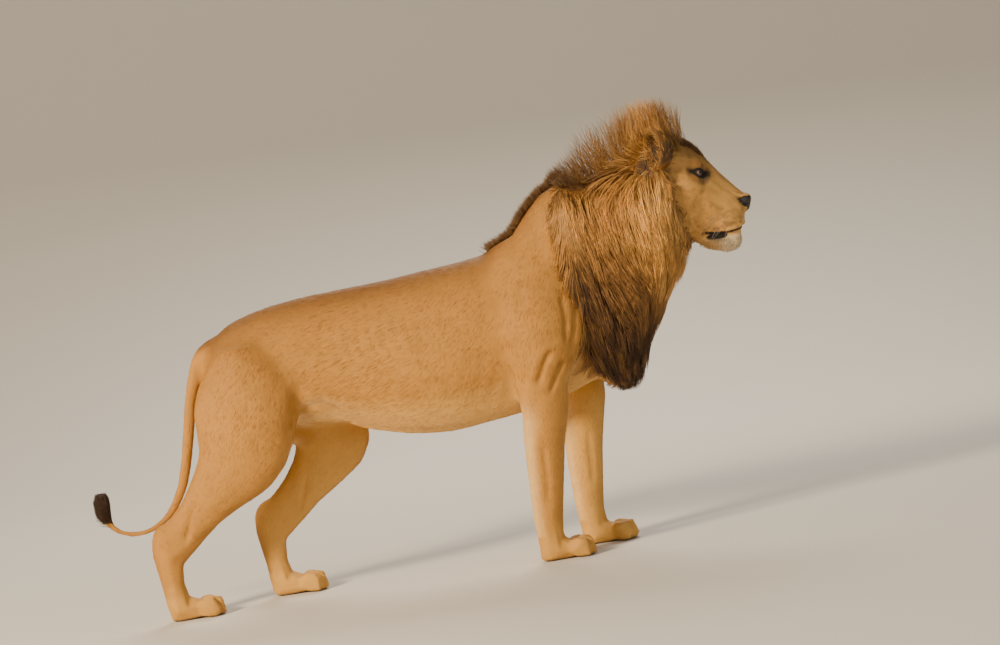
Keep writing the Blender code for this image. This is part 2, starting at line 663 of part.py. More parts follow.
def set_features(pieces):
    """Sets the nose, eyes and ears, each in room cut for it."""
    pieces["nose"] = build_nose()
    pieces["head"] = clear_of(pieces["head"], pieces["nose"])
    for side, word in ((RIGHT, "right"), (LEFT, "left")):
        eye, orbit = build_eye("eye_" + word, side)
        pieces["head"] = clear_of(clear_of(pieces["head"], orbit, 0.0), eye)
        ear, room = build_ear("ear_" + word, side)
        for name in ("head", "mane_crest", "mane_ruff"):
            pieces[name] = clear_of(pieces[name], room)
        bpy.data.objects.remove(orbit)
        bpy.data.objects.remove(room)
        pieces["eye_" + word], pieces["ear_" + word] = eye, ear


def build_nose():
    """The bare leather of the nose, with its nostrils."""
    form = bmesh.new()
    slabs(form, [
        (0.839, 1.098, 0.830, 1.078, 0.013, -0.30),
        (0.836, 1.110, 0.824, 1.062, 0.026, -0.35),
        (0.824, 1.119, 0.813, 1.054, 0.034, -0.35),
        (0.804, 1.123, 0.800, 1.054, 0.037, -0.30),
        (0.784, 1.121, 0.787, 1.066, 0.034, -0.25),
        (0.770, 1.108, 0.777, 1.083, 0.018, -0.20),
    ], per_span=1, count=14)
    nose = object_from("nose", form)
    for side in (RIGHT, LEFT):
        nostril = ball((0.827, 0.019 * side, 1.088), (0.017, 0.0065, 0.0085), 10, 38 * side, fineness=1)
        nose = boolean(nose, nostril, "DIFFERENCE")
        bpy.data.objects.remove(nostril)
    return nose


def build_eye(name, side):
    """An eyeball, and the shallow orbit it looks out of."""
    centre = EYE_CENTRE * Vector((1, side, 1))
    form = bmesh.new()
    bmesh.ops.create_uvsphere(form, u_segments=13, v_segments=8, radius=EYE_RADIUS,
                              matrix=Matrix.Translation(centre))
    gaze = Vector((0.62, 0.78 * side, 0.10)).normalized()
    orbit = ball(centre + gaze * 0.030, (0.030, 0.026, 0.020), -6, 52 * side)
    return object_from(name, form), orbit


def ear_ball(side, scale, shift, fineness):
    """An ellipsoid as flat as an ear, upright and leaning, moved out of the head by a shift."""
    out = Vector((0.36, 0.92 * side, 0.12)).normalized()
    lean = math.radians(EAR_TILT)
    up = Vector((math.sin(lean), 0, math.cos(lean)))
    up = (up - out * up.dot(out)).normalized()
    wide = up.cross(out)
    turn = Matrix((out, wide, up)).transposed().to_4x4()
    form = bmesh.new()
    place = Matrix.Translation(EAR_CENTRE * Vector((1, side, 1)) + out * shift)
    bmesh.ops.create_icosphere(form, subdivisions=fineness, radius=0.5,
                               matrix=place @ turn @ Matrix.Diagonal((*scale, 1.0)))
    return object_from("cutter", form)


def build_ear(name, side):
    """A round cup that opens outwards and a little forwards, and the solid it is hollowed from."""
    size = Vector((EAR_DEPTH, EAR_WIDTH, EAR_HEIGHT))
    hollow = ear_ball(side, size - Vector((2, 2, 2)) * EAR_WALL, EAR_WALL + 0.010, 2)
    ear = boolean(ear_ball(side, size, 0.0, 2), hollow, "DIFFERENCE")
    ear.name = name
    bpy.data.objects.remove(hollow)
    return ear, ear_ball(side, size, 0.0, 2)


def colour_of(name):
    """The plain colour and roughness that a piece is shown in."""
    if name.startswith("eye"):
        return AMBER, 0.15
    if name in ("nose", "tail_tuft"):
        return BLACK, 0.6
    if name.startswith("mane"):
        return BROWN, 0.9
    if name.startswith(("fore_paw", "hind_paw", "lower_jaw")):
        return PALE, 0.85
    return TAWNY, 0.85


def place_on_origin(pieces):
    """Moves all pieces so that the origin is under the middle of their bounding box."""
    corners = [vert.co for piece in pieces.values() for vert in piece.data.vertices]
    low = Vector([min(corner[i] for corner in corners) for i in range(3)])
    high = Vector([max(corner[i] for corner in corners) for i in range(3)])
    middle = (low + high) / 2
    for piece in pieces.values():
        piece.data.transform(Matrix.Translation((-middle.x, -middle.y, -low.z)))


def main():
    clear_scene()
    body = fused_body()
    body = boolean(body, box((-2, 2), (-1, 1), (-0.5, 0.0)), "DIFFERENCE")
    pieces = part_body(body)
    place_on_origin(pieces)
    for name, piece in pieces.items():
        piece.name = piece.data.name = name
        piece.data.materials.clear()
        piece.data.materials.append(finish(name, *colour_of(name)))
        piece.data.shade_smooth()
    for guide in set(bpy.data.objects) - set(pieces.values()):
        bpy.data.objects.remove(guide)


if __name__ == "__main__":
    main()
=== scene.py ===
# %% [markdown]
# # A standing young male lion, dressed
#
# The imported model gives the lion's named solids: head, neck, chest, legs, tail and so on. This notebook
# dresses them. One skin replaces all the pieces of flesh, short fur and long mane locks grow out of it,
# and the eyes and the nose leather are separate pieces.
#
# Coordinates are metres, +X towards the nose, +Y to the animal's left, +Z up.

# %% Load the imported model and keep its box
import json
import math

import bmesh
import bpy
import numpy as np
from mathutils import Matrix, Vector, noise
from mathutils.bvhtree import BVHTree
from mathutils.kdtree import KDTree

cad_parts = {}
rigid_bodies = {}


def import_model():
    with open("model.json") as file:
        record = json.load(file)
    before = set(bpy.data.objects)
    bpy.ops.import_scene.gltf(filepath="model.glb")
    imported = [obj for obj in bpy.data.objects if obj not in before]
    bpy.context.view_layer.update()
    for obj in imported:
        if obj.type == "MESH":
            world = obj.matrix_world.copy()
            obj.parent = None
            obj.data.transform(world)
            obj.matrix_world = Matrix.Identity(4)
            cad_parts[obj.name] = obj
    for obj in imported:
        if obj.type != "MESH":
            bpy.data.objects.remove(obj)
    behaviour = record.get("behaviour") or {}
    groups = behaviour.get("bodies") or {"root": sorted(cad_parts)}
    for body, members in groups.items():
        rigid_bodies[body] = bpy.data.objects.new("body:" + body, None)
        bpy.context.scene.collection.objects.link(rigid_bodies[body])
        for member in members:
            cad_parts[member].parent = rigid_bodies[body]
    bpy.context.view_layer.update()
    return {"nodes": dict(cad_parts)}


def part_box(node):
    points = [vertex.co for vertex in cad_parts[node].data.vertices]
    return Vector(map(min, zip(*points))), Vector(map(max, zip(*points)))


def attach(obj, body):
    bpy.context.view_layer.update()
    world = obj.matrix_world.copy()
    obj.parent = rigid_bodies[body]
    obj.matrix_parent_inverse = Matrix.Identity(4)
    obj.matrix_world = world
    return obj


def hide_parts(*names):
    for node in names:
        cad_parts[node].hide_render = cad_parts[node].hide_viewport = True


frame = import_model()
nodes = frame["nodes"]

# %% [markdown]
# Positions on the animal are given from a point on the floor under the middle of its right forefoot,
# which is easier to think from than the middle of the whole box. `FOREFOOT` is where that point lies.

# %% Where the right forefoot stands
NOSE_FROM_FOREFOOT = 0.839
FOREFOOT = np.array([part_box("nose")[1].x - NOSE_FROM_FOREFOOT, 0.0, 0.0])
print("forefoot at x =", round(FOREFOOT[0], 4))

# %% [markdown]
# ## Camera, light and floor
#
# The animal stands 9.4 degrees nose-down here, because all four feet rest on one level floor. The
# camera is rolled by the same angle, so the animal is seen climbing on to rising ground. It stands far
# off with a long lens, as one would with a lion, so the near and far legs come out alike in size.

# %% Camera
ROLL = math.radians(9.4)
CAMERA_ABOVE = math.radians(5.0)
CAMERA_AWAY = 18.9
LENS_MM, SENSOR_MM = 200.1, 36.0
UP = Vector((math.sin(ROLL), 0.0, math.cos(ROLL)))
AIM = Vector((-0.0716, 0.0, 0.8165)) + Vector(FOREFOOT)


def add_object(name, data):
    """An object that carries this mesh, lamp or camera, linked to the scene."""
    thing = bpy.data.objects.new(name, data)
    bpy.context.scene.collection.objects.link(thing)
    return thing


camera = add_object("camera", bpy.data.cameras.new("camera"))
camera.data.lens, camera.data.sensor_width = LENS_MM, SENSOR_MM
camera.data.clip_start, camera.data.clip_end = 0.5, 100.0
out_of_view = Vector((0.0, -math.cos(CAMERA_ABOVE), 0.0)) + UP * math.sin(CAMERA_ABOVE)
right = UP.cross(out_of_view).normalized()
upright = out_of_view.cross(right).normalized()
turn = Matrix((right, upright, out_of_view)).transposed().to_4x4()
camera.matrix_world = Matrix.Translation(AIM + out_of_view * CAMERA_AWAY) @ turn
bpy.context.scene.camera = camera
print("camera:", CAMERA_AWAY, "m away, lens", LENS_MM, "mm")

# %% [markdown]
# ### Light
#
# A lion is mostly seen in low, warm sun. One strong soft box stands in for the sun, a broad weak one
# opens up the shade, one behind parts the mane from the floor, and the world glows like a pale sky.

# %% Lights
LIGHTS_AIM = Vector((0.2, 0.0, 0.8))
SKY_COLOUR, SKY_STRENGTH = (0.84, 0.79, 0.71, 1.0), 0.30


def studio_light(name, place, size, watts, colour):
    """A square soft box aimed at the animal's middle."""
    data = bpy.data.lights.new(name, "AREA")
    data.shape, data.size, data.energy, data.color = "SQUARE", size, watts, colour
    lamp = add_object(name, data)
    lamp.location = place
    lamp.rotation_euler = (LIGHTS_AIM - Vector(place)).to_track_quat("-Z", "Y").to_euler()
    print("light:", name, watts, "W")


studio_light("key", (-5.6, -5.4, 3.9), 1.8, 1300.0, (1.0, 0.80, 0.54))
studio_light("fill", (5.0, -5.0, 2.6), 5.0, 110.0, (0.90, 0.94, 1.0))
studio_light("back", (0.5, 4.6, 4.4), 3.0, 300.0, (1.0, 0.93, 0.82))

world = bpy.data.worlds.new("studio")
world.use_nodes = True
world.node_tree.nodes["Background"].inputs["Color"].default_value = SKY_COLOUR
world.node_tree.nodes["Background"].inputs["Strength"].default_value = SKY_STRENGTH
bpy.context.scene.world = world

# %% [markdown]
# ### Floor and backdrop
#
# The model stands on one sheet of pale paper, curved up behind so that no edge shows. A bent plane would
# do too, but a row of points, drawn twice and joined with faces, keeps the bend exact.

# %% A pale floor that curves up behind without an edge
SWEEP_WIDE, FLOOR_FRONT, FLOOR_BACK, SWEEP_ROUND, SWEEP_TOP = 40.0, -30.0, 4.0, 5.0, 16.0
PAPER_COLOUR = (0.62, 0.59, 0.54, 1.0)


def mesh_from(form, name):
    """A mesh with a bmesh's shape. The bmesh is freed."""
    mesh = bpy.data.meshes.new(name)
    form.to_mesh(mesh)
    form.free()
    return mesh


profile = [(FLOOR_FRONT, 0.0)]
for turned in np.radians(np.arange(0, 91, 6)):
    profile.append((FLOOR_BACK + SWEEP_ROUND * math.sin(turned), SWEEP_ROUND * (1 - math.cos(turned))))
profile.append((FLOOR_BACK + SWEEP_ROUND, SWEEP_TOP))
sweep_form = bmesh.new()
edges = [[sweep_form.verts.new((across, back, height)) for back, height in profile]
         for across in (-SWEEP_WIDE / 2, SWEEP_WIDE / 2)]
for i in range(len(profile) - 1):
    sweep_form.faces.new((edges[0][i], edges[1][i], edges[1][i + 1], edges[0][i + 1]))
sweep_mesh = mesh_from(sweep_form, "backdrop")
sweep_mesh.shade_smooth()
backdrop = add_object("backdrop", sweep_mesh)
paper = bpy.data.materials.new("backdrop paper")
paper.use_nodes = True
paper.node_tree.nodes["Principled BSDF"].inputs["Base Color"].default_value = PAPER_COLOUR
paper.node_tree.nodes["Principled BSDF"].inputs["Roughness"].default_value = 0.95
sweep_mesh.materials.append(paper)
print("backdrop:", len(sweep_mesh.polygons), "faces")

# %% [markdown]
# ## The skin
#
# The solids are coarse, faceted and parted by thin cuts. Their meshes are grown by a hair so that the
# cuts close, joined with a core of neck muscle that the mane hides, and remeshed as one skin of small
# even cells. Smoothing then wipes out the facets. It is held back where the form is fine: on the face,
# the ears and the paws. Last, the body is thinned again, so that the triangles go where the detail is.

# %% [markdown]
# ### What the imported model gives
#
# Most of the solids are flesh, which one skin will cover. Three give the mane's outer surface, and two
# are the eyeballs. A side is also the sign of its Y.

# %% Which solids are which
RIGHT, LEFT = -1.0, 1.0
SIDES = (("right", RIGHT), ("left", LEFT))
HAIR_NODES = ("mane_crest", "mane_ruff", "mane_bib")
EYE_NODES = ("eye_left", "eye_right")
HEAD_NODES = ("head", "lower_jaw", "nose", "ear_left", "ear_right")
flesh_nodes = sorted(set(nodes) - set(HAIR_NODES) - set(EYE_NODES))
EYE_PLACE = {}
for word, side in SIDES:
    low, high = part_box("eye_" + word)
    EYE_PLACE[side] = np.array((low + high) / 2)
    EYE_RADIUS = (high.z - low.z) / 2
print("flesh:", len(flesh_nodes), "solids, hair:", len(HAIR_NODES))
print("eyes at", {side: place.round(4).tolist() for side, place in EYE_PLACE.items()}, round(EYE_RADIUS, 4))

# %% [markdown]
# ### The head's own form
#
# The face needs more form than the solids carry, so the head is modelled again, on the same outline, just
# under the depth of the coat. Upright rings are lofted from the nose back to the skull, and ellipsoids
# add what rounds a lion's face: whisker pads, bridge of the nose, brows, cheekbones and jaw muscles.

# %% Lofts and ellipsoids
def smooth_rows(rows, per_span=4):
    """Rows of numbers, with rows between them on a Catmull-Rom curve."""
    given = np.array(rows, float)
    padded = np.vstack([2 * given[0] - given[1], given, 2 * given[-1] - given[-2]])
    made = []
    for i in range(1, len(padded) - 2):
        before, start, end, after = padded[i - 1:i + 3]
        for t in np.arange(per_span) / per_span:
            made.append(0.5 * (2 * start + (end - before) * t
                               + (2 * before - 5 * start + 4 * end - after) * t ** 2
                               + (3 * start - before - 3 * end + after) * t ** 3))
    made.append(given[-1])
    return np.array(made)


def loft(form, rings):
    """Bridges closed rings of points, and closes both ends with a point in their middle."""
    loops = [[form.verts.new(point) for point in ring] for ring in rings]
    for near, far in zip(loops, loops[1:]):
        for i in range(len(near)):
            j = (i + 1) % len(near)
            form.faces.new((near[i], near[j], far[j], far[i]))
    for ring, order in ((loops[0], 1), (loops[-1], -1)):
        middle = form.verts.new(sum((v.co for v in ring), Vector()) / len(ring))
        for i in range(len(ring)):
            pair = (ring[i], ring[(i + 1) % len(ring)])[::order]
            form.faces.new((*pair[::-1], middle))


def slabs(form, rows, count=40):
    """A loft of upright rings: x and z of the top, x and z of the bottom, half width, how much wider
    it is below, and how square it is (2 is round)."""
    angles = np.linspace(0, 2 * math.pi, count, endpoint=False)
    rings = []
    for x_top, z_top, x_low, z_low, half, taper, square in smooth_rows(rows):
        up = np.sign(np.sin(angles)) * abs(np.sin(angles)) ** (2 / square)
        out = np.sign(np.cos(angles)) * abs(np.cos(angles)) ** (2 / square)
        rings.append([Vector(((x_top + x_low) / 2 + (x_top - x_low) / 2 * u + FOREFOOT[0],
                              half * o * (1 - taper * u),
                              (z_top + z_low) / 2 + (z_top - z_low) / 2 * u)) for u, o in zip(up, out)])
    loft(form, rings)


def blob(form, centre, size, pitch=0.0, yaw=0.0):
    """An ellipsoid with these half sizes. Pitch lowers its +X end, yaw turns that end to +Y."""
    turn = Matrix.Rotation(math.radians(yaw), 4, "Z") @ Matrix.Rotation(math.radians(pitch), 4, "Y")
    bmesh.ops.create_icosphere(form, subdivisions=4, radius=1.0,
                               matrix=Matrix.Translation(Vector(centre) + Vector(FOREFOOT)) @ turn
                               @ Matrix.Diagonal((*size, 1.0)))


# %% Head and muzzle
head_form = bmesh.new()
slabs(head_form, [
    # x_top  z_top  x_low   z_low  half   taper  square
    (0.818, 1.094, 0.806, 1.034, 0.022, 0.10, 2.0),
    (0.817, 1.112, 0.800, 1.019, 0.040, 0.25, 2.0),
    (0.802, 1.132, 0.786, 1.006, 0.056, 0.28, 2.1),
    (0.776, 1.162, 0.757, 1.001, 0.066, 0.26, 2.3),
    (0.747, 1.198, 0.724, 1.000, 0.073, 0.20, 2.2),
    (0.719, 1.236, 0.690, 0.999, 0.084, 0.12, 2.1),
    (0.691, 1.280, 0.654, 0.996, 0.094, 0.05, 2.1),
    (0.652, 1.314, 0.614, 0.996, 0.110, 0.02, 2.1),
    (0.602, 1.332, 0.570, 1.020, 0.115, 0.02, 2.1),
    (0.540, 1.334, 0.530, 1.060, 0.108, 0.00, 2.0),
    (0.480, 1.310, 0.480, 1.110, 0.083, 0.00, 2.0),
])
print("head:", len(head_form.verts), "points")

# %% Lower jaw, bridge and tip of the nose
slabs(head_form, [  # lower jaw and chin
    (0.790, 1.008, 0.784, 0.976, 0.020, 0.0, 2.0),
    (0.776, 1.012, 0.768, 0.950, 0.037, 0.0, 2.1),
    (0.726, 1.016, 0.720, 0.945, 0.047, 0.0, 2.2),
    (0.676, 1.026, 0.669, 0.958, 0.058, 0.0, 2.0),
    (0.620, 1.055, 0.612, 0.990, 0.076, 0.0, 2.0),
    (0.570, 1.090, 0.565, 1.025, 0.090, 0.0, 2.0),
    (0.500, 1.130, 0.500, 1.050, 0.080, 0.0, 2.0),
])
slabs(head_form, [  # bridge of the nose, broad and flat on top
    (0.694, 1.272, 0.650, 1.200, 0.050, 0.0, 2.6),
    (0.741, 1.207, 0.700, 1.140, 0.046, 0.0, 3.0),
    (0.786, 1.151, 0.750, 1.095, 0.041, 0.0, 3.0),
    (0.815, 1.119, 0.790, 1.075, 0.036, 0.0, 2.6),
])
slabs(head_form, [  # leather and wings of the nose
    (0.839, 1.096, 0.832, 1.077, 0.013, -0.20, 2.2),
    (0.836, 1.108, 0.826, 1.062, 0.026, -0.25, 2.3),
    (0.825, 1.116, 0.813, 1.054, 0.034, -0.25, 2.4),
    (0.802, 1.124, 0.800, 1.054, 0.036, -0.20, 2.4),
    (0.778, 1.128, 0.787, 1.066, 0.032, -0.15, 2.2),
])
print("with jaw and nose:", len(head_form.verts), "points")

# %% What rounds the face
for side in (RIGHT, LEFT):
    blob(head_form, (0.752, 0.041 * side, 1.038), (0.054, 0.042, 0.044), 18, -6 * side)  # whisker pad
    blob(head_form, (0.774, 0.022 * side, 1.036), (0.030, 0.025, 0.027), 10)  # front of the lip
    blob(head_form, (0.664, 0.048 * side, 1.244), (0.050, 0.036, 0.026), 48, -12 * side)  # brow
    blob(head_form, (0.628, 0.070 * side, 1.170), (0.088, 0.046, 0.050), 14, -18 * side)  # cheekbone
    blob(head_form, (0.606, 0.054 * side, 1.088), (0.092, 0.052, 0.084), 10, -10 * side)  # jaw muscle
    blob(head_form, (0.548, 0.088 * side, 1.272), (0.046, 0.036, 0.046))  # root of the ear
    blob(head_form, np.array(EYE_PLACE[side]) - FOREFOOT, [EYE_RADIUS * 0.97] * 3)  # eyeball
print("with the rounded parts:", len(head_form.verts), "points")

# %% [markdown]
# ### Ears
#
# A lion's ear is a round cup, turned a little backwards. It is a revolved profile, squashed to the ear's
# depth and width: up the back, over the rim and down into the hollow. A flat disc would be simpler, but
# it has no hollow for the shade to fall in.

# %% Ears
EAR_PROFILE = [  # radius and height above the rim, both as shares
    (0.02, -1.00), (0.36, -0.95), (0.64, -0.78), (0.86, -0.48), (0.97, -0.18), (1.00, 0.00),
    (0.965, 0.07), (0.91, 0.02), (0.84, -0.14), (0.70, -0.42), (0.46, -0.66), (0.20, -0.76), (0.02, -0.78),
]
EAR_OPENS = (-0.90, 0.40, 0.14)  # where the left ear's cup opens
EAR_LEAN = 14.0  # degrees that the ear leans forward
EAR_WIDTH, EAR_DEEP = 0.120, 0.066
EAR_HALF_TALL = 0.49  # of the solid's height
EAR_RIM_OUT = 0.012  # how far the rim lies before the solid's middle
EAR_POINTS_ROUND = 40


def ear(form, side):
    """Lofts the cup of one ear in place of its solid."""
    low, high = (np.array(corner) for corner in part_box("ear_left" if side > 0 else "ear_right"))
    middle, height = (low + high) / 2, (high - low)[2]
    out = Vector(EAR_OPENS) * Vector((1, side, 1))
    out.normalize()
    lean = math.radians(EAR_LEAN)
    up = Vector((math.sin(lean), 0, math.cos(lean)))
    up = (up - out * up.dot(out)).normalized()
    across = up.cross(out)
    rings = []
    for share, rise in EAR_PROFILE:
        ring = []
        for a in np.linspace(0, 2 * math.pi, EAR_POINTS_ROUND, endpoint=False):
            tall = share * height * EAR_HALF_TALL * math.sin(a)
            wide = share * EAR_WIDTH / 2 * math.cos(a) * (1.0 - 0.10 * math.sin(a))
            ring.append(Vector(middle) + up * tall + across * wide + out * (rise * EAR_DEEP + EAR_RIM_OUT))
        rings.append(ring)
    loft(form, rings)


for side in (RIGHT, LEFT):
    ear(head_form, side)
print("with ears:", len(head_form.verts), "points")

# %% [markdown]
# ### One skin for the head
#
# So far the head is a heap of closed forms that run into each other. A Boolean union would keep their
# hard joints. A voxel Remesh wraps them all in one skin of even cells, and Smooth melts the joints, as
# the flesh of a face flows together. The thin ears and the nose are smoothed less, so they keep their form.

# %% Meshes as arrays
def applied(thing):
    """The mesh of an object with its modifiers applied. The object is removed."""
    bpy.context.view_layer.update()
    graph = bpy.context.evaluated_depsgraph_get()
    mesh = bpy.data.meshes.new_from_object(thing.evaluated_get(graph))
    bpy.data.objects.remove(thing)
    return mesh


def points_of(mesh, what="co"):
    """Vertex coordinates or normals as an array."""
    source = mesh.vertices if what == "co" else mesh.vertex_normals
    values = np.empty(len(source) * 3, np.float32)
    source.foreach_get("co" if what == "co" else "vector", values)
    return values.reshape(-1, 3).astype(float)


def step(value, low, high):
    """0 below low, 1 above high, and a smooth ramp between. Works backwards where low > high."""
    t = np.clip((value - low) / (high - low), 0.0, 1.0)
    return t * t * (3 - 2 * t)


def inside(points, node, margin=0.0):
    """1 inside a solid's box, falling to 0 over a margin outside it."""
    low, high = (np.array(corner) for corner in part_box(node))
    beyond = np.maximum(np.maximum(low - points, points - high), 0.0).max(1)
    return step(beyond, max(margin, 1e-6), 0.0)


# %% Modifiers that wrap, smooth and thin
THINNING_PULL = 0.02  # how much the group's weights hold back the thinning


def weigh(thing, name, weights, levels=12):
    """A vertex group with a weight for each vertex, in a few even levels."""
    group = thing.vertex_groups.new(name=name)
    stepped = np.round(np.clip(weights, 0, 1) * levels).astype(int)
    for level in range(levels + 1):
        group.add(np.flatnonzero(stepped == level).tolist(), level / levels, "REPLACE")


def wrap(thing, cell):
    """One skin of even cells round everything in an object."""
    remesh = thing.modifiers.new("one skin", "REMESH")
    remesh.mode, remesh.voxel_size = "VOXEL", cell


def soften(thing, rounds, group=""):
    """Rounds of smoothing, as strong at each point as its weight in a group."""
    smooth = thing.modifiers.new("soften", "SMOOTH")
    smooth.factor, smooth.iterations, smooth.vertex_group = 0.5, rounds, group


def thin_out(thing, ratio, group=""):
    """Fewer triangles, and least where a point's weight in a group is low."""
    thin = thing.modifiers.new("thin", "DECIMATE")
    thin.ratio = ratio
    if group:
        thin.vertex_group, thin.vertex_group_factor = group, THINNING_PULL


# %% Fuse the head
HEAD_CELL = 0.0026
FINE_ROUNDS, BROAD_ROUNDS = 10, 26
bmesh.ops.recalc_face_normals(head_form, faces=head_form.faces)
head_raw = add_object("head form", mesh_from(head_form, "head form"))
wrap(head_raw, HEAD_CELL)
head_even = add_object("head even", applied(head_raw))
at = points_of(head_even.data)
on_ear = np.maximum(inside(at, "ear_left", 0.004), inside(at, "ear_right", 0.004))
on_nose = inside(at, "nose", 0.006)
weigh(head_even, "all", np.where(on_ear > 0.3, 0.30, 1.0))
weigh(head_even, "broad", np.where((on_ear > 0.3) | (on_nose > 0.5), 0.0, 1.0))
soften(head_even, FINE_ROUNDS, "all")
soften(head_even, BROAD_ROUNDS, "broad")
head_skin = applied(head_even)
print("head:", len(head_skin.polygons), "cells")

# %% [markdown]
# ### Eyelids, nostrils and mouth
#
# Where the features are small, the cells are halved first. An eyelid is then a matter of distance from the
# eyeball's middle: inside an almond-shaped opening the skin drops behind the ball, and round the opening
# it rises just above it, as a rim. The mouth, nostrils and creases are grooves pressed into the skin.

# %% Finer cells at the eyes, nose and mouth
MOUTH = [(0.840, 1.021), (0.806, 1.014), (0.780, 1.004), (0.738, 0.998), (0.700, 1.001), (0.664, 1.008)]
NEAR_EYE, NEARER_EYE, NEAR_MOUTH, NEAR_NOSE = 0.036, 0.0275, 0.018, 0.008


def path_distance(points, path):
    """Distance from each point to a path, both seen from the side, and how far along the path it is."""
    flat = points[:, [0, 2]] - FOREFOOT[[0, 2]]
    best, along = np.full(len(flat), 9.0), np.zeros(len(flat))
    for i, (start, end) in enumerate(zip(path, path[1:])):
        start, end = np.array(start), np.array(end)
        share = np.clip(((flat - start) @ (end - start)) / ((end - start) @ (end - start)), 0, 1)
        gap = np.linalg.norm(flat - start - share[:, None] * (end - start), axis=1)
        nearer = gap < best
        best[nearer], along[nearer] = gap[nearer], i + share[nearer]
    return best, along / (len(path) - 1)


def halve_cells(mesh, chosen):
    """Cuts each edge between chosen points in two, and the faces with them."""
    form = bmesh.new()
    form.from_mesh(mesh)
    form.verts.ensure_lookup_table()
    edges = [edge for edge in form.edges if chosen[edge.verts[0].index] and chosen[edge.verts[1].index]]
    bmesh.ops.subdivide_edges(form, edges=edges, cuts=1, use_grid_fill=True)
    form.to_mesh(mesh)
    form.free()


def eye_distance(points):
    """Distance from each point to the nearer eye's middle."""
    return np.minimum.reduce([np.linalg.norm(points - EYE_PLACE[side], axis=1) for side in EYE_PLACE])


def near_features(points):
    """True for the points that are close to an eye, the mouth or the nose."""
    in_front = points[:, 0] - FOREFOOT[0] > 0.640
    near_mouth = (path_distance(points, MOUTH)[0] < NEAR_MOUTH) & in_front & (abs(points[:, 1]) < 0.10)
    return (eye_distance(points) < NEAR_EYE) | near_mouth | (inside(points, "nose", NEAR_NOSE) > 0.5)


halve_cells(head_skin, near_features(points_of(head_skin)))
halve_cells(head_skin, eye_distance(points_of(head_skin)) < NEARER_EYE)
print("head with fine cells:", len(head_skin.polygons))

# %% The almond between the eyelids
EYE_FACES = (0.64, 0.75, 0.13)  # where the opening between the lids points, on the left
EYE_SLANT = 24.0  # degrees that the inner corner lies below the outer one
OPEN_WIDE, OPEN_UP, OPEN_DOWN = math.radians(54), math.radians(25), math.radians(31)


def eye_axes(side, faces):
    """Out of the eye, towards its inner corner, and up."""
    out = np.array(faces) * (1, side, 1)
    out /= np.linalg.norm(out)
    inner = np.cross(out, (0, 0, side))
    inner /= np.linalg.norm(inner)
    if inner[0] < 0:
        inner = -inner
    up = np.cross(out, inner)
    up *= np.sign(up[2])
    slant = math.radians(EYE_SLANT)
    return out, inner * math.cos(slant) - up * math.sin(slant), up * math.cos(slant) + inner * math.sin(slant)


def eye_opening(points, side):
    """Where each point is on the eye's almond: under 1 inside the opening, 1 on the lids' rims. Also the
    angles towards the inner corner and up."""
    out, inner, up = eye_axes(side, EYE_FACES)
    ray = points - EYE_PLACE[side]
    far = np.linalg.norm(ray, axis=1)
    ray = ray / far[:, None].clip(1e-6)
    across = np.arctan2(ray @ inner, ray @ out)
    rise = np.arctan2(ray @ up, np.hypot(ray @ inner, ray @ out) * np.sign(ray @ out))
    tall = np.where(rise > 0, OPEN_UP, OPEN_DOWN)
    wide = np.where(across > 0, OPEN_WIDE * 1.12, OPEN_WIDE)
    almond = (abs(across / wide) ** 1.5 + abs(rise / tall) ** 1.5) ** (1 / 1.5)
    return np.where(ray @ out > -0.1, almond, 9.0), across, rise, far, ray


# %% Shape the eyelids
LID = 0.0024  # how far the lids' rims stand out from the eyeball
LID_FOLD = 0.0011  # depth of the fold over the upper lid
BEHIND_BALL = 0.0030  # how far the skin drops inside the opening


def move_points(mesh, points):
    """Puts a mesh's points in these places."""
    mesh.vertices.foreach_set("co", np.ascontiguousarray(points, np.float32).ravel())
    mesh.update()


at = points_of(head_skin)
for side in (RIGHT, LEFT):
    almond, across, rise, far, ray = eye_opening(at, side)
    near = far < 0.060
    rim = EYE_RADIUS + LID - LID_FOLD * np.exp(-((almond - 1.55) / 0.13) ** 2) * (rise > 0)
    natural = np.maximum(far, EYE_RADIUS + 0.0012)
    blend = step(almond, 1.15, 2.3)
    target = rim * (1 - blend) + natural * blend
    target = np.where(almond < 1.0, EYE_RADIUS - BEHIND_BALL, target)
    sharp = step(almond, 0.96, 1.04)
    target = (EYE_RADIUS - BEHIND_BALL) * (1 - sharp) + target * sharp
    fade = step(far, 0.058, 0.040)
    moved = EYE_PLACE[side] + ray * target[:, None]
    at = np.where(near[:, None], at + (moved - at) * fade[:, None], at)
    print("eyelids:", int((almond < 1.0).sum()), "points inside the opening")
move_points(head_skin, at)

# %% Press in the nostrils
def bump_at(points, centre, size):
    """A soft hill: 1 at the centre, falling off over the half sizes."""
    return np.exp(-(((points - np.array(centre)) / np.array(size)) ** 2).sum(1))


at, out = points_of(head_skin), points_of(head_skin, "normal")
local = at - FOREFOOT
beside = local[:, [0, 2]]  # as seen from the side
push = np.zeros(len(at))
for side in (RIGHT, LEFT):
    nostril = ((local - np.array((0.830, 0.0175 * side, 1.085))) / np.array((0.014, 0.0085, 0.0090)))
    wing = ((local - np.array((0.813, 0.031 * side, 1.081))) / np.array((0.014, 0.0090, 0.0046)))
    push -= 0.0110 * np.exp(-((nostril ** 2).sum(1)) ** 1.5) + 0.0065 * np.exp(-((wing ** 2).sum(1)) ** 1.5)
    push += 0.0016 * bump_at(local, (0.820, 0.030 * side, 1.096), (0.012, 0.008, 0.006))
print("nostrils:", round(-push.min(), 4), "deep")

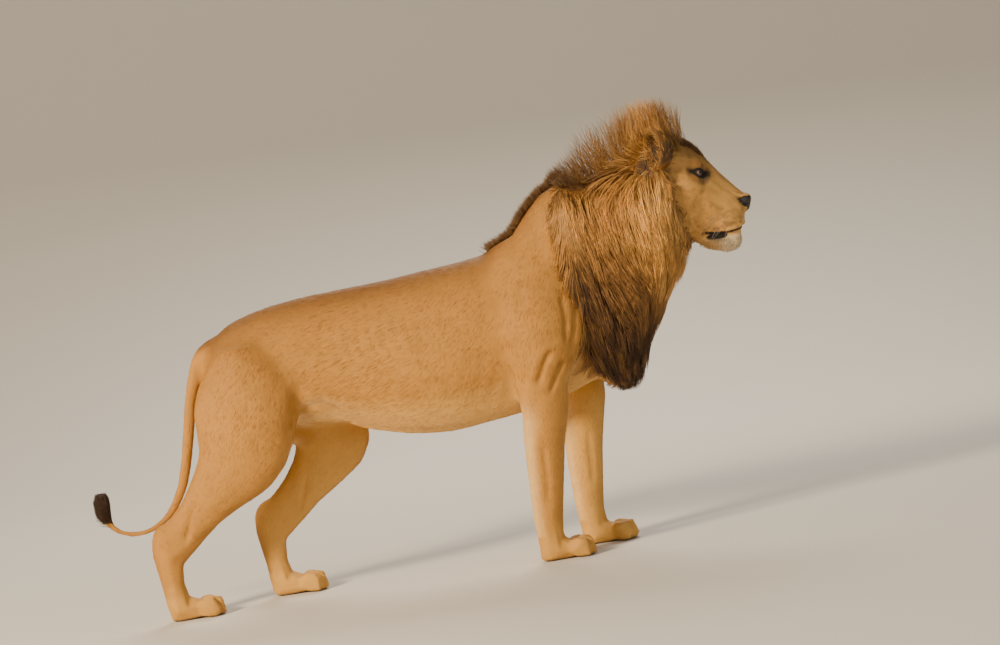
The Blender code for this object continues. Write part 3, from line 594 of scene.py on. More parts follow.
# %% Press in the mouth and the groove above it
on_muzzle = step(local[:, 0], 0.640, 0.665) * step(local[:, 2], 0.90, 0.93) * step(local[:, 2], 1.13, 1.10)
mouth_gap, _ = path_distance(at, MOUTH)
below_mouth = step(local[:, 2], 1.006, 0.998)
push -= 0.0052 * np.exp(-(mouth_gap / 0.0030) ** 2) * on_muzzle
push += 0.0022 * np.exp(-((mouth_gap - 0.0085) / 0.0050) ** 2) * on_muzzle * (1 - below_mouth)
philtrum = np.exp(-(local[:, 1] / 0.0030) ** 2) * step(local[:, 0], 0.770, 0.790)
push -= 0.0032 * philtrum * step(local[:, 2], 1.000, 1.010) * step(local[:, 2], 1.075, 1.060)
print("mouth:", int((mouth_gap < 0.0030).sum()), "points in the groove")

# %% Press in the creases, the forehead and the temples
CREASES = [  # path seen from the side, depth, half width
    ([(0.714, 1.190), (0.748, 1.152), (0.780, 1.122)], 0.0018, 0.0050),
    ([(0.690, 1.186), (0.676, 1.160), (0.668, 1.130)], 0.0012, 0.0060),
    ([(0.660, 1.010), (0.640, 1.035), (0.632, 1.062)], 0.0018, 0.0060),
    ([(0.742, 1.082), (0.716, 1.060), (0.700, 1.036)], 0.0012, 0.0080),
]
for path, depth, width in CREASES:
    push -= depth * np.exp(-(path_distance(at, path)[0] / width) ** 2) * step(abs(local[:, 1]), 0.020, 0.034)
forehead = np.exp(-(local[:, 1] / 0.016) ** 2) * step(local[:, 2], 1.22, 1.27) * step(local[:, 0], 0.60, 0.64)
push -= 0.0035 * forehead
temple = bump_at(beside, (0.610, 1.238), (0.040, 0.026))
push -= 0.0060 * temple * step(abs(local[:, 1]), 0.050, 0.070) * step(abs(local[:, 0] - 0.61), 0.08, 0.04)
move_points(head_skin, at + out * push[:, None])
print("face pressed in by up to", round(-push.min(), 4))

# %% [markdown]
# ### Nose leather
#
# The tip of a lion's nose is bare, dark, pebbled leather. Paint alone would have no edge, so the leather
# is a piece of its own. The skin's faces inside an outline are copied and lifted a little, and Solidify
# makes them a thin closed shell.

# %% The leather of the nose, a thin closed shell over the skin
LEATHER_LIFT, LEATHER_THICK = 0.0005, 0.0025
LEATHER = [(0.779, 1.101), (0.815, 1.110), (0.850, 1.104), (0.850, 1.070), (0.828, 1.046), (0.806, 1.053),
           (0.793, 1.074)]


def within(points, outline):
    """True for the points that lie inside an outline seen from the side."""
    px, pz = points[:, 0], points[:, 2]
    odd = np.zeros(len(points), bool)
    for (ax, az), (bx, bz) in zip(outline, outline[1:] + outline[:1]):
        crosses = (az > pz) != (bz > pz)
        odd ^= crosses & (px < ax + (pz - az) * (bx - ax) / (bz - az + 1e-12))
    return odd


LEATHER_HALF = ([1.044, 1.058, 1.070, 1.080, 1.110], [0.005, 0.011, 0.024, 0.043, 0.050])

local = points_of(head_skin) - FOREFOOT
leather_half = np.interp(local[:, 2], *LEATHER_HALF)
on_leather = within(local, LEATHER) & (abs(local[:, 1]) < leather_half)
form = bmesh.new()
form.from_mesh(head_skin)
form.verts.ensure_lookup_table()
spare = [face for face in form.faces if not all(on_leather[vert.index] for vert in face.verts)]
bmesh.ops.delete(form, geom=spare, context="FACES")
form.normal_update()
for vert in form.verts:
    vert.co += vert.normal * LEATHER_LIFT
nose_raw = add_object("nose form", mesh_from(form, "nose form"))
walls = nose_raw.modifiers.new("walls", "SOLIDIFY")
walls.thickness, walls.offset = LEATHER_THICK, -1.0
nose_skin = applied(nose_raw)
print("nose leather:", len(nose_skin.polygons), "faces")

# %% [markdown]
# ### Fewer triangles on the head
#
# Small cells are wasted where the head is smooth. Decimate merges them into larger triangles. A vertex
# group holds it back at the eyes, the nose and the mouth.

# %% Thin the head where it is smooth
HEAD_TRIANGLES = 84000
thick = add_object("thick head", head_skin)
at = points_of(head_skin)
weigh(thick, "thinning", np.where(near_features(at), 0.03, 1.0))
thin_out(thick, HEAD_TRIANGLES / (2 * len(head_skin.polygons)), "thinning")
head_skin = applied(thick)
print("thinned head:", len(head_skin.polygons), "triangles")

# %% [markdown]
# ### The flesh of the body
#
# The solids of the body are parted by thin cuts. Each one grows by a hair, along its normals, so that
# the cuts close. A solid's mesh is loose triangles, so a copy is merged first, and then it has normals.

# %% Join the pieces of flesh
SEAM_COVER = 0.0006  # how far each piece grows, to close the cuts between them
MERGE_WITHIN = 1e-5


def grow_out(form, amount):
    """Merges a bmesh's doubles and moves its points outwards."""
    bmesh.ops.remove_doubles(form, verts=form.verts, dist=MERGE_WITHIN)
    form.normal_update()
    moves = [vert.normal * amount for vert in form.verts]
    for vert, move in zip(form.verts, moves):
        vert.co += move


flesh = bmesh.new()
for name in sorted(set(flesh_nodes) - set(HEAD_NODES)):
    piece = bmesh.new()
    piece.from_mesh(nodes[name].data)
    grow_out(piece, SEAM_COVER)
    grown = mesh_from(piece, "grown")
    flesh.from_mesh(grown)
    bpy.data.meshes.remove(grown)
print("flesh:", len(flesh.verts), "points")

# %% [markdown]
# ### What lies under the mane
#
# A lion's neck is slimmer than its mane looks, and locks need depth to stand in. So the mane's solids,
# the neck and the chest are fused into one core, which then sinks in along its normals: little at the
# mane's rear edge, and by the mane's depth before it.

# %% The core under the mane
MANE_EDGE = ([0.48, 0.55, 0.607, 0.744, 0.842, 0.985, 1.228, 1.40],  # heights, and the mane's rear edge
             [0.290, 0.235, 0.206, 0.210, 0.236, 0.215, 0.203, 0.15])
MANE_DEPTH, MANE_SLOPE, CORE_CELL, CORE_ROUNDS = 0.042, 0.085, 0.008, 12
EDGE_DEPTH = 0.006

under = bmesh.new()
for name in ("mane_ruff", "mane_bib", "neck", "chest"):
    under.from_mesh(nodes[name].data)
grow_out(under, 2 * SEAM_COVER)
core = add_object("core", mesh_from(under, "under the mane"))
wrap(core, CORE_CELL)
soften(core, CORE_ROUNDS)
core_mesh = applied(core)
at, out = points_of(core_mesh), points_of(core_mesh, "normal")
local = at - FOREFOOT
from_edge = local[:, 0] - np.interp(local[:, 2], *MANE_EDGE)
depth = EDGE_DEPTH + MANE_DEPTH * step(from_edge, -0.010, MANE_SLOPE)
depth *= np.where(local[:, 0] > 0.10, 1.0, 0.5)
move_points(core_mesh, at - out * depth[:, None])
flesh.from_mesh(core_mesh)
print("core:", len(core_mesh.polygons), "cells, sunk by up to", round(depth.max(), 3))

# %% [markdown]
# ### One skin for the body
#
# A ball joins the neck to the back of the skull. Then the body is wrapped and smoothed like the head. The
# trunk and the legs take many rounds, which wipe out the facets, and the paws only a few.

# %% Remesh and smooth
SKIN_CELL = 0.0040
BODY_ROUNDS, PAW_ROUNDS = 60, 10
bmesh.ops.create_icosphere(flesh, subdivisions=3, radius=1.0, matrix=Matrix.Translation(
    Vector((0.500, 0.0, 1.210)) + Vector(FOREFOOT)) @ Matrix.Diagonal((0.110, 0.095, 0.110, 1.0)))
joined = add_object("joined", mesh_from(flesh, "flesh"))
wrap(joined, SKIN_CELL)
even = add_object("even", applied(joined))
print("even skin:", len(even.data.polygons), "cells")
at = points_of(even.data)
on_paw = step(at[:, 2], 0.13, 0.09)
weigh(even, "broad", 1 - on_paw)
weigh(even, "all", np.ones(len(at)))
soften(even, BODY_ROUNDS, "broad")
soften(even, PAW_ROUNDS, "all")
smooth = add_object("smooth", applied(even))

# %% [markdown]
# ### Folds and muscles
#
# Under a lion's short coat the shoulder blade, the elbow, the flank and the tendons show. Sculpting is
# the usual way. Here each fold is a path seen from the side, and each muscle a soft hill, and the skin is
# pushed in or out along its normals by how near it is to them. That stays the same in every run.

# %% Folds of the body
FOLDS = [  # path seen from the side, how deep, half width
    ([(0.020, 0.975), (0.017, 0.914), (0.016, 0.866)], 0.0056, 0.011),  # behind the shoulder blade
    ([(0.152, 0.919), (0.152, 0.816), (0.141, 0.704)], 0.0080, 0.010),  # front of the shoulder
    ([(0.198, 0.863), (0.180, 0.777), (0.151, 0.685)], 0.0072, 0.010),
    ([(0.093, 0.729), (0.052, 0.667), (0.015, 0.590)], 0.0100, 0.011),  # elbow
    ([(0.131, 0.688), (0.089, 0.619), (0.054, 0.556)], 0.0084, 0.009),
    ([(-0.059, 0.789), (-0.058, 0.651), (-0.050, 0.560)], 0.0096, 0.020),  # behind the upper arm
    ([(-0.804, 0.636), (-0.720, 0.650), (-0.641, 0.602)], 0.0080, 0.014),  # fold of the flank
    ([(-0.749, 0.782), (-0.786, 0.668), (-0.848, 0.540)], 0.0080, 0.022),  # front of the thigh
    ([(-0.651, 0.560), (-0.471, 0.506), (-0.302, 0.482), (-0.155, 0.492)], 0.0064, 0.010),  # belly
    ([(-1.180, 0.420), (-1.215, 0.330), (-1.245, 0.250)], 0.0064, 0.011),  # before the heel tendon
    ([(-0.800, 0.420), (-0.835, 0.330), (-0.865, 0.250)], 0.0064, 0.011),
    ([(0.010, 0.430), (0.002, 0.300), (-0.004, 0.180)], 0.0048, 0.011),  # tendons of the forelegs
    ([(0.170, 0.430), (0.160, 0.300), (0.152, 0.180)], 0.0048, 0.011),
]
HILLS = [  # centre and half sizes seen from the side, height
    ((0.060, 0.860), (0.070, 0.120), 0.008),  # shoulder blade
    ((0.065, 0.700), (0.060, 0.060), 0.006),  # upper arm
    ((-0.950, 0.830), (0.070, 0.070), 0.005),  # hip
    ((-0.930, 0.640), (0.090, 0.110), 0.006),  # thigh
    ((0.030, 0.470), (0.032, 0.080), 0.004),  # forearm
    ((0.180, 0.470), (0.032, 0.080), 0.004),
]
at, out = points_of(smooth.data), points_of(smooth.data, "normal")
local = at - FOREFOOT
beside = local[:, [0, 2]]
push = np.zeros(len(at))
for path, depth, width in FOLDS:
    gap, along = path_distance(at, path)
    fade = step(along, 0.0, 0.25) * step(along, 1.0, 0.75)
    push -= depth * np.exp(-(gap / width) ** 2) * fade
for centre, size, height in HILLS:
    push += height * bump_at(beside, centre, size)
print("folds:", round(-push.min(), 4), "deep, hills:", round(push.max(), 4), "high")

# %% [markdown]
# Fine ripples cross the back and the ribs, and all of this fades where the skin doesn't face sideways. A
# slight unevenness over the whole body keeps the triangles alike in size when the skin is thinned.

# %% Ripples, ribs and a slight unevenness
RIPPLE, RIB, UNEVEN = 0.0007, 0.0013, 0.0005
UNEVEN_SCALE = 70.0
on_back = bump_at(beside, (-0.45, 0.86), (0.28, 0.07))
push += RIPPLE * on_back * np.sin(local[:, 0] * 150 + np.sin(local[:, 2] * 31) * 1.3)
on_ribs = bump_at(beside, (-0.22, 0.66), (0.20, 0.11))
push += RIB * on_ribs * np.sin((local[:, 0] - 0.35 * local[:, 2]) * 115)
sideways = step(abs(out[:, 1]), 0.25, 0.75)
push *= sideways
uneven = np.array([noise.noise(Vector(point) * UNEVEN_SCALE) for point in at])
push += UNEVEN * uneven * step(at[:, 2], 0.10, 0.16)
print("facing sideways:", round(sideways.mean(), 2), "of the skin")

# %% [markdown]
# ### Toes
#
# A lion stands on four toes on each foot. The furrows between them are pressed in along the front of the
# paw, each at a share of the paw's box.

# %% Furrows between the toes
TOE_GAPS, GAP_DEPTH, GAP_HALF = (-0.245, 0.0, 0.245), 0.0065, 0.0040
for name in ("fore_paw_left", "fore_paw_right", "hind_paw_left", "hind_paw_right"):
    low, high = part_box(name)
    share = (at[:, 0] - low.x) / (high.x - low.x)
    on_toes = step(share, 0.62, 0.82) * (share < 1.1) * step(at[:, 2], 0.075, 0.055)
    on_toes *= step(at[:, 2], 0.003, 0.012)
    for gap in TOE_GAPS:
        from_gap = at[:, 1] - (low.y + high.y) / 2 - gap * (high.y - low.y) * (0.80 + 0.20 * share)
        push -= GAP_DEPTH * np.exp(-(from_gap / GAP_HALF) ** 2) * on_toes
    print(name, "toes:", int((on_toes > 0.5).sum()), "points")

# %% Thin the body where it is smooth
BODY_TRIANGLES = 110000
move_points(smooth.data, at + out * push[:, None])
weigh(smooth, "thinning", np.where(step(at[:, 2], 0.13, 0.09) > 0.4, 0.05, 1.0))
thin_out(smooth, BODY_TRIANGLES / (2 * len(smooth.data.polygons)), "thinning")
body_skin = applied(smooth)
print("body:", len(body_skin.polygons), "triangles")

# %% [markdown]
# ### Even triangles
#
# Thinning leaves some narrow triangles, whose normals show as dark spots. A second Remesh would lose the
# paws' detail. So each point slides towards the middle of its neighbours, only along the skin.

# %% Averages over neighbours
def edges_of(mesh):
    """The two points of each edge."""
    pairs = np.empty(len(mesh.edges) * 2, np.int32)
    mesh.edges.foreach_get("vertices", pairs)
    return pairs.reshape(-1, 2)


def spread(values, pairs, rounds, keep=0.5):
    """Smooths values over a mesh by averaging each vertex with its neighbours."""
    values = np.array(values, float)
    flat = values.reshape(len(values), -1)
    count = np.bincount(pairs.ravel(), minlength=len(flat))[:, None].clip(1)
    for _ in range(rounds):
        total = np.empty_like(flat)
        for column in range(flat.shape[1]):
            near = flat[:, column]
            total[:, column] = (np.bincount(pairs[:, 0], near[pairs[:, 1]], len(flat))
                                + np.bincount(pairs[:, 1], near[pairs[:, 0]], len(flat)))
        flat = keep * flat + (1 - keep) * total / count
    return flat.reshape(values.shape)


def unit(vectors):
    """Vectors with their length made 1."""
    return vectors / np.linalg.norm(vectors, axis=-1, keepdims=True).clip(1e-9)


# %% Slide the points along the skin until no triangle is thin
SLIDES = 6
body_links = edges_of(body_skin)
for _ in range(SLIDES):
    at, out = points_of(body_skin), points_of(body_skin, "normal")
    out = unit(spread(out, body_links, 3))
    slide = spread(at, body_links, 1, 0.0) - at
    slide -= out * (slide * out).sum(1)[:, None]
    move_points(body_skin, at + slide * 0.5 * step(at[:, 2], 0.13, 0.18)[:, None])
print("last slide, mean:", round(np.linalg.norm(slide, axis=1).mean(), 5))

# %% [markdown]
# ### One skin, and what it knows about itself
#
# The head and the body become one object; they overlap deep under the mane, where nothing shows. Each
# point then gets what the hair needs to know: which solid it belongs to, which way the hair lies there,
# how long and how dense it is, and the colour of the coat.

# %% Join head and body
for mesh in (head_skin, body_skin):
    mesh.materials.clear()
whole = bmesh.new()
whole.from_mesh(body_skin)
BODY_POINTS = len(whole.verts)
whole.from_mesh(head_skin)
bmesh.ops.triangulate(whole, faces=whole.faces)
skin_mesh = mesh_from(whole, "skin")
skin_mesh.shade_smooth()
links = edges_of(skin_mesh)
at = points_of(skin_mesh)
is_head = np.arange(len(at)) >= BODY_POINTS
print("skin:", len(skin_mesh.vertices), "points", len(skin_mesh.polygons), "triangles")

# %% [markdown]
# The solids are named for parts of the body, so the nearest solid's name tells what a point of the skin
# is: thigh, ear, tail. A tree of all the solids' faces finds it quickly.

# %% Which solid each point of the skin belongs to
names = sorted(flesh_nodes)
corners, faces, owner = [], [], []
for index, name in enumerate(names):
    mesh = nodes[name].data
    start = len(corners)
    corners += [tuple(vert.co) for vert in mesh.vertices]
    faces += [tuple(start + i for i in face.vertices) for face in mesh.polygons]
    owner += [index] * len(mesh.polygons)
tree = BVHTree.FromPolygons(corners, faces)
owner = np.array(owner)
label = owner[[tree.find_nearest(point)[2] for point in at]]
label[is_head & ~np.isin(label, [names.index(n) for n in HEAD_NODES])] = names.index("head")


def part(*starts):
    """1 where the skin belongs to a solid whose name starts with one of these words."""
    chosen = [i for i, name in enumerate(names) if name.startswith(starts)]
    return np.isin(label, chosen).astype(float)


print("points on the ears:", int(part("ear").sum()), "on the paws:", int(part("fore_paw", "hind_paw").sum()))

# %% [markdown]
# ### Where the mane grows
#
# The mane covers the neck and the breast, and runs on along the nape as a narrow crest. A real mane's
# rear edge is no line: the locks get shorter and mix with the coat. So the mask fades slowly there.

# %% Where the mane grows
def even_normals():
    """The skin's normals, evened over the neighbours on the body, where some triangles are thin."""
    out = points_of(skin_mesh, "normal")
    return np.where(is_head[:, None], out, unit(spread(out, links, 4)))


local = at - FOREFOOT
x, y, z = local.T
out = even_normals()
FACE_LINE = ([0.90, 0.98, 1.02, 1.09, 1.147, 1.20, 1.25, 1.285, 1.314, 1.34],
             [0.640, 0.625, 0.617, 0.605, 0.588, 0.575, 0.590, 0.615, 0.650, 0.680])
face_edge = np.interp(z, *FACE_LINE)
mane_edge = np.interp(z, *MANE_EDGE)
soft_edge = 0.012 + 0.055 * step(z, 0.74, 0.90) * step(z, 1.26, 1.20)
on_breast = step(x, mane_edge - soft_edge, mane_edge + 0.018) * step(z, 0.52, 0.57)
on_breast *= 1 - part("forearm", "fore_paw") * step(z, 0.62, 0.58)
on_breast *= 1 - step(z, 0.68, 0.60) * step(x, 0.300, 0.260)
BACKBONE_OUT = np.array((-0.45, 0.0, 0.89))  # away from the backbone at the back of the neck
nape_half = 0.036 + 0.024 * step(x, -0.085, 0.060)
on_nape = step(abs(y), nape_half, nape_half * 0.65) * step(x, -0.085, -0.050)
on_nape *= step(out @ BACKBONE_OUT, 0.20, 0.50)
on_nape *= step(z, 0.98, 1.03)
in_mane = np.maximum(on_breast, on_nape) * step(x, face_edge + 0.004, face_edge - 0.012)
ear_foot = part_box("ear_right")[0].z
in_mane *= 1 - part("ear") * step(at[:, 2], ear_foot + 0.004, ear_foot + 0.020)
print("mane covers", round(in_mane.mean(), 3), "of the points")

# %% [markdown]
# ### Which way the hair lies
#
# A lion's coat runs back from the nose, along the trunk and down the legs. It could be combed by hand.
# Here each solid has a direction, and averaging over many neighbours turns the jumps into curves.

# %% Which way the hair lies
NOSE_TIP = np.array((0.850, 0.0, 1.120))
away_from_nose = local - NOSE_TIP
away_from_nose /= np.linalg.norm(away_from_nose, axis=1)[:, None]
lie = np.zeros_like(at)
LIES = [  # first words of the solids, and the direction, on the left side
    (("neck",), (-0.55, 0.05, -0.83)),
    (("chest",), (-0.70, 0.00, -0.70)),
    (("shoulder",), (-0.40, 0.05, -0.92)),
    (("belly",), (-0.93, 0.00, -0.36)),
    (("rump",), (-0.90, 0.00, -0.42)),
    (("thigh",), (-0.50, 0.00, -0.86)),
    (("shank",), (-0.62, 0.00, -0.78)),
    (("forearm", "instep"), (-0.05, 0.00, -1.00)),
    (("fore_paw", "hind_paw"), (0.85, 0.00, -0.50)),
    (("tail_base", "tail_middle"), (-0.25, 0.00, -0.97)),
    (("tail_curve",), (-0.95, 0.00, -0.10)),
    (("tail_tuft",), (-0.10, 0.00, 1.00)),
]
mirrored = np.stack([np.ones_like(y), np.sign(y), np.ones_like(y)], 1)
for starts, direction in LIES:
    lie += part(*starts)[:, None] * (np.array(direction) * mirrored)
on_top = step(out[:, 2], 0.55, 0.85) * part("rump", "belly", "chest", "neck")
lie += on_top[:, None] * (np.array((-1.0, 0.0, -0.1)) - lie)
lie += part("head", "lower_jaw", "nose")[:, None] * away_from_nose
EAR_LIE = np.array((-0.10, 0.0, 1.0))
lie += part("ear")[:, None] * EAR_LIE
lie = spread(lie, links, 24)
lie -= out * (lie * out).sum(1)[:, None]
lie /= np.linalg.norm(lie, axis=1)[:, None].clip(1e-6)
print("lie, mean:", lie.mean(0).round(2).tolist())

# %% [markdown]
# ### How long and how deep the coat is
#
# The solids show the outside of the coat, so the skin sinks by the coat's depth, and the tufts bring the
# outline back. Length and depth go by parts of the body, averaged over neighbours so no border shows.

# %% How long and how deep the coat is
LENGTHS = [  # first words of the solids, length of the hair, depth of the coat
    (("head",), 0.0095, 0.0000),
    (("lower_jaw",), 0.0120, 0.0000),
    (("nose",), 0.0040, 0.0000),
    (("ear",), 0.0090, 0.0000),
    (("neck",), 0.0230, 0.0070),
    (("chest", "shoulder"), 0.0200, 0.0060),
    (("belly",), 0.0220, 0.0065),
    (("rump", "thigh"), 0.0190, 0.0060),
    (("shank",), 0.0150, 0.0045),
    (("forearm", "instep"), 0.0130, 0.0040),
    (("fore_paw", "hind_paw"), 0.0095, 0.0025),
    (("tail_base", "tail_middle", "tail_curve", "tail_tuft"), 0.0140, 0.0035),
]
hair_length, coat_depth = np.zeros(len(at)), np.zeros(len(at))
for starts, length, depth in LENGTHS:
    hair_length += part(*starts) * length
    coat_depth += part(*starts) * depth
hair_length = spread(hair_length, links, 12)
coat_depth = spread(coat_depth, links, 12) * ~is_head
on_muzzle = step(x, 0.70, 0.78) * part("head", "lower_jaw", "nose")
hair_length *= 1 - 0.45 * on_muzzle
move_points(skin_mesh, at - out * coat_depth[:, None])
at = points_of(skin_mesh)
print("hair from", round(hair_length.min(), 4), "to", round(hair_length.max(), 4), "long")

# %% [markdown]
# ### The colours of the coat
#
# A lion's short coat is tawny, darker along the spine and paler on the belly, inside the legs and on the
# paws. The face has a white chin, black lips and dark eye rims. Each marking is a soft mask by place, kept
# on the skin and passed on to the hair that grows there, so that both always agree.

# %% The colours, and how they are painted
TAWNY = np.array((0.45, 0.208, 0.036))
SPINE = np.array((0.17, 0.070, 0.015))
PALE = np.array((0.66, 0.355, 0.075))
CREAM = np.array((0.74, 0.48, 0.190))
WHITE = np.array((0.74, 0.61, 0.42))
RUSSET = np.array((0.29, 0.125, 0.024))
BLACK = np.array((0.012, 0.008, 0.006))
DARK = np.array((0.060, 0.030, 0.014))
FAWN = np.array((0.60, 0.310, 0.075))
FRECKLE = np.array((0.130, 0.058, 0.018))
EAR_RIM = np.array((0.42, 0.200, 0.055))

local = at - FOREFOOT
beside = local[:, [0, 2]]
x, y, z = local.T
out = even_normals()
colour = np.tile(TAWNY, (len(at), 1))


def paint(other, mask):
    """Mixes another colour into the skin's colour where a mask is 1."""
    mask = np.clip(mask, 0, 1)[:, None]
    colour[:] = colour * (1 - mask) + other * mask


# %% Paint the trunk, the legs and the tail
trunk = part("belly", "chest", "rump", "neck", "shoulder", "thigh")
rear_leg = part("thigh", "shank", "instep", "hind_paw")
fore_leg = part("shoulder", "forearm", "fore_paw")
paint(RUSSET, 0.50 * trunk * step(out[:, 2], -0.10, 0.75))
paint(SPINE, 0.80 * trunk * step(out[:, 2], 0.30, 0.80) * step(abs(y), 0.130, 0.030))
underside = step(out[:, 2], -0.25, -0.85) * part("belly", "chest", "rump")
paint(CREAM, 0.75 * underside)
paint(PALE, 0.55 * part("belly", "chest") * step(z, 0.66, 0.56))
inner = step(out[:, 1] * -np.sign(y), 0.10, 0.75)
paint(PALE, 0.70 * inner * np.maximum(rear_leg, fore_leg))
paint(CREAM, 0.80 * part("forearm") * step(out[:, 0], -0.15, -0.80) * step(z, 0.60, 0.45))
paint(PALE, 0.55 * step(z, 0.16, 0.05) * np.maximum(rear_leg, fore_leg))
paint(RUSSET, 0.35 * part("instep", "shank") * step(out[:, 0], -0.2, -0.8))
paint(DARK, 0.75 * part("hind_paw", "fore_paw") * step(z, 0.012, 0.003))
paint(DARK, part("tail_tuft"))
paint(RUSSET, 0.5 * part("tail_curve", "tail_middle") * step(out[:, 2], 0.0, 0.8))
paint(DARK, 0.80 * in_mane * step(z, 0.75, 0.60))
paint(RUSSET, 0.80 * in_mane)
print("body colour, mean:", colour[:BODY_POINTS].mean(0).round(3).tolist())

# %% Paint the face
face = part("head", "lower_jaw", "nose") * is_head
blotches = np.array([noise.noise(Vector(point) * 95.0) + 0.8 * noise.noise(Vector(point) * 260.0)
                     for point in at[BODY_POINTS:]])
mottle = np.concatenate([np.zeros(BODY_POINTS), blotches])
paint(FAWN, face)
paint(PALE, face * 0.45 * bump_at(beside, (0.700, 1.120), (0.045, 0.055)))
paint(SPINE, 0.60 * face * step(z, 1.20, 1.29) * step(abs(y), 0.095, 0.045))
paint(DARK, 0.60 * face * step(z, 1.225, 1.28) * step(abs(y), 0.050, 0.022))
paint(RUSSET, 0.40 * face * step(abs(y), 0.046, 0.026) * step(z, 1.12, 1.20))
paint(RUSSET, 0.35 * face * bump_at(beside, (0.650, 1.100), (0.040, 0.050)))
paint(PALE, 0.40 * face * bump_at(beside, (0.745, 1.045), (0.050, 0.042)))
paint(PALE, face * 0.45 * step(mottle, -0.10, -0.65))
paint(FRECKLE, face * 0.75 * step(mottle, 0.10, 0.70))
paint(CREAM, 0.80 * face * step(z, 1.004, 0.970) * step(x, 0.560, 0.660))
paint(WHITE, 0.90 * face * step(z, 0.994, 0.974) * step(x, 0.690, 0.735))
paint(CREAM, 0.50 * face * step(x, 0.770, 0.815) * step(z, 1.060, 1.020) * step(z, 0.990, 1.005))
print("face colour, mean:", colour[BODY_POINTS:].mean(0).round(3).tolist())

# %% Paint the lips and the rim of the nose
mouth_gap, mouth_along = path_distance(at, MOUTH)
in_front = step(x, 0.658, 0.670)
in_lip = np.hypot((x - 0.702) / 0.036, (z - 0.990) / 0.0125)
paint(BLACK, face * in_front * np.exp(-(mouth_gap / (0.0028 + 0.0022 * mouth_along)) ** 4))
paint(BLACK, face * step(in_lip, 1.15, 0.92))
paint(BLACK, face * np.exp(-(y / 0.0030) ** 2) * step(x, 0.785, 0.800) * step(z, 1.070, 1.060))
leather_half = np.interp(z, *LEATHER_HALF) + 0.0020
leather_rim = within(local + (0.0015, 0, 0.0), LEATHER) & (abs(y) < leather_half)
paint(BLACK, face * leather_rim)
print("rim of the nose:", int(leather_rim.sum()), "points")

# %% Paint round the eyes
for side in (RIGHT, LEFT):
    almond, across, rise, far, ray = eye_opening(at, side)
    near_eye = step(far, 0.055, 0.045)
    paint(RUSSET, 0.50 * near_eye * step(almond, 3.2, 2.0))
    paint(DARK, 0.75 * near_eye * step(almond, 2.00 + 0.6 * (across > 0), 1.50))
    paint(BLACK, near_eye * step(almond, 1.72, 1.42) * (almond < 3))
    paint(BLACK, near_eye * step(across, 0.80, 1.05) * step(abs(rise), 0.32, 0.15) * step(almond, 2.5, 1.9))
tear, tear_along = path_distance(at, [(0.694, 1.190), (0.684, 1.172), (0.678, 1.145)])
paint(CREAM, 0.85 * face * bump_at(beside, (0.697, 1.186), (0.0085, 0.0045)))
paint(DARK, 0.80 * face * np.exp(-(tear / 0.0050) ** 2) * (1 - 0.7 * tear_along) * step(abs(y), 0.02, 0.035))
print("eye rims:", int((eye_distance(at) < NEAR_EYE).sum()), "points near an eye")

# %% [markdown]
# Each whisker of a lion grows from a small dark spot, and the spots stand in rows on the lip. They are
# painted in four slanting rows, and the whiskers will grow from the same places.

# %% Paint the whisker spots
SPOT_SLANT, SPOT_MIDDLE, SPOT_HALF = 0.10, 0.745, 0.0040
SPOT_ROWS = ((0.706, 0.778, 1.068), (0.700, 0.786, 1.053), (0.700, 0.790, 1.038), (0.708, 0.788, 1.023))
spots = np.zeros(len(at))
for row, (start, end, height) in enumerate(SPOT_ROWS):
    for spot_x in np.linspace(start, end, 7 - row % 2):
        gap = np.hypot(x - spot_x, z - height - SPOT_SLANT * (spot_x - SPOT_MIDDLE))
        spots = np.maximum(spots, np.exp(-(gap / SPOT_HALF) ** 2))
paint(DARK, 0.95 * face * spots * step(abs(y), 0.015, 0.030))

print("whisker spots:", int((spots > 0.5).sum()), "points")

# %% [markdown]
# The ear's hollow is painted black, as painted shade in the cup. Its rim is golden brown, and its back dark
# with a paler foot, a signal to other lions behind.

# %% Paint the ears
on_ear = part("ear")
ear_out = np.zeros_like(at)
for side in (RIGHT, LEFT):
    ear_out += (np.sign(y) == side)[:, None] * unit(np.array(EAR_OPENS) * (1, side, 1))
in_cup = step((out * ear_out).sum(1), -0.05, 0.35)
paint(TAWNY, on_ear)
# painted shade: the hollow of each ear's cup is painted black
paint(BLACK, 0.90 * on_ear * in_cup)
low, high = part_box("ear_right")
paint(DARK, 0.90 * on_ear * (1 - in_cup) * step(at[:, 2], low.z + 0.120, low.z + 0.080))
paint(RUSSET, 0.6 * on_ear * (1 - in_cup) * step(at[:, 2], low.z + 0.085, low.z + 0.120))
paint(TAWNY, 0.9 * on_ear * (1 - in_cup) * step(at[:, 2], low.z + 0.035, low.z + 0.015))
rims = np.zeros(len(at))
for word, side in SIDES:
    low, high = (np.array(corner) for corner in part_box("ear_" + word))
    from_rim = (at - (low + high) / 2) @ unit(np.array(EAR_OPENS) * (1, side, 1)) - EAR_RIM_OUT
    on_rim = on_ear * (np.sign(y) == side) * np.exp(-((from_rim - 0.001) / 0.0035) ** 2)
    rims = np.maximum(rims, on_rim)
    paint(EAR_RIM, 0.75 * on_rim)
print("ear rims:", int((rims > 0.5).sum()), "points")

# %% [markdown]
# Attributes keep the colour, the lie and the length on the skin's points. Geometry Nodes and materials
# read them by name, so no image is needed.

# %% Keep colour, lie and length on the skin
def store(mesh, name, kind, values):
    """A point attribute on a mesh."""
    field = {"FLOAT": "value", "FLOAT_VECTOR": "vector", "FLOAT_COLOR": "color"}[kind]
    made = mesh.attributes.new(name, kind, "POINT")
    made.data.foreach_set(field, np.ascontiguousarray(values, np.float32).ravel())


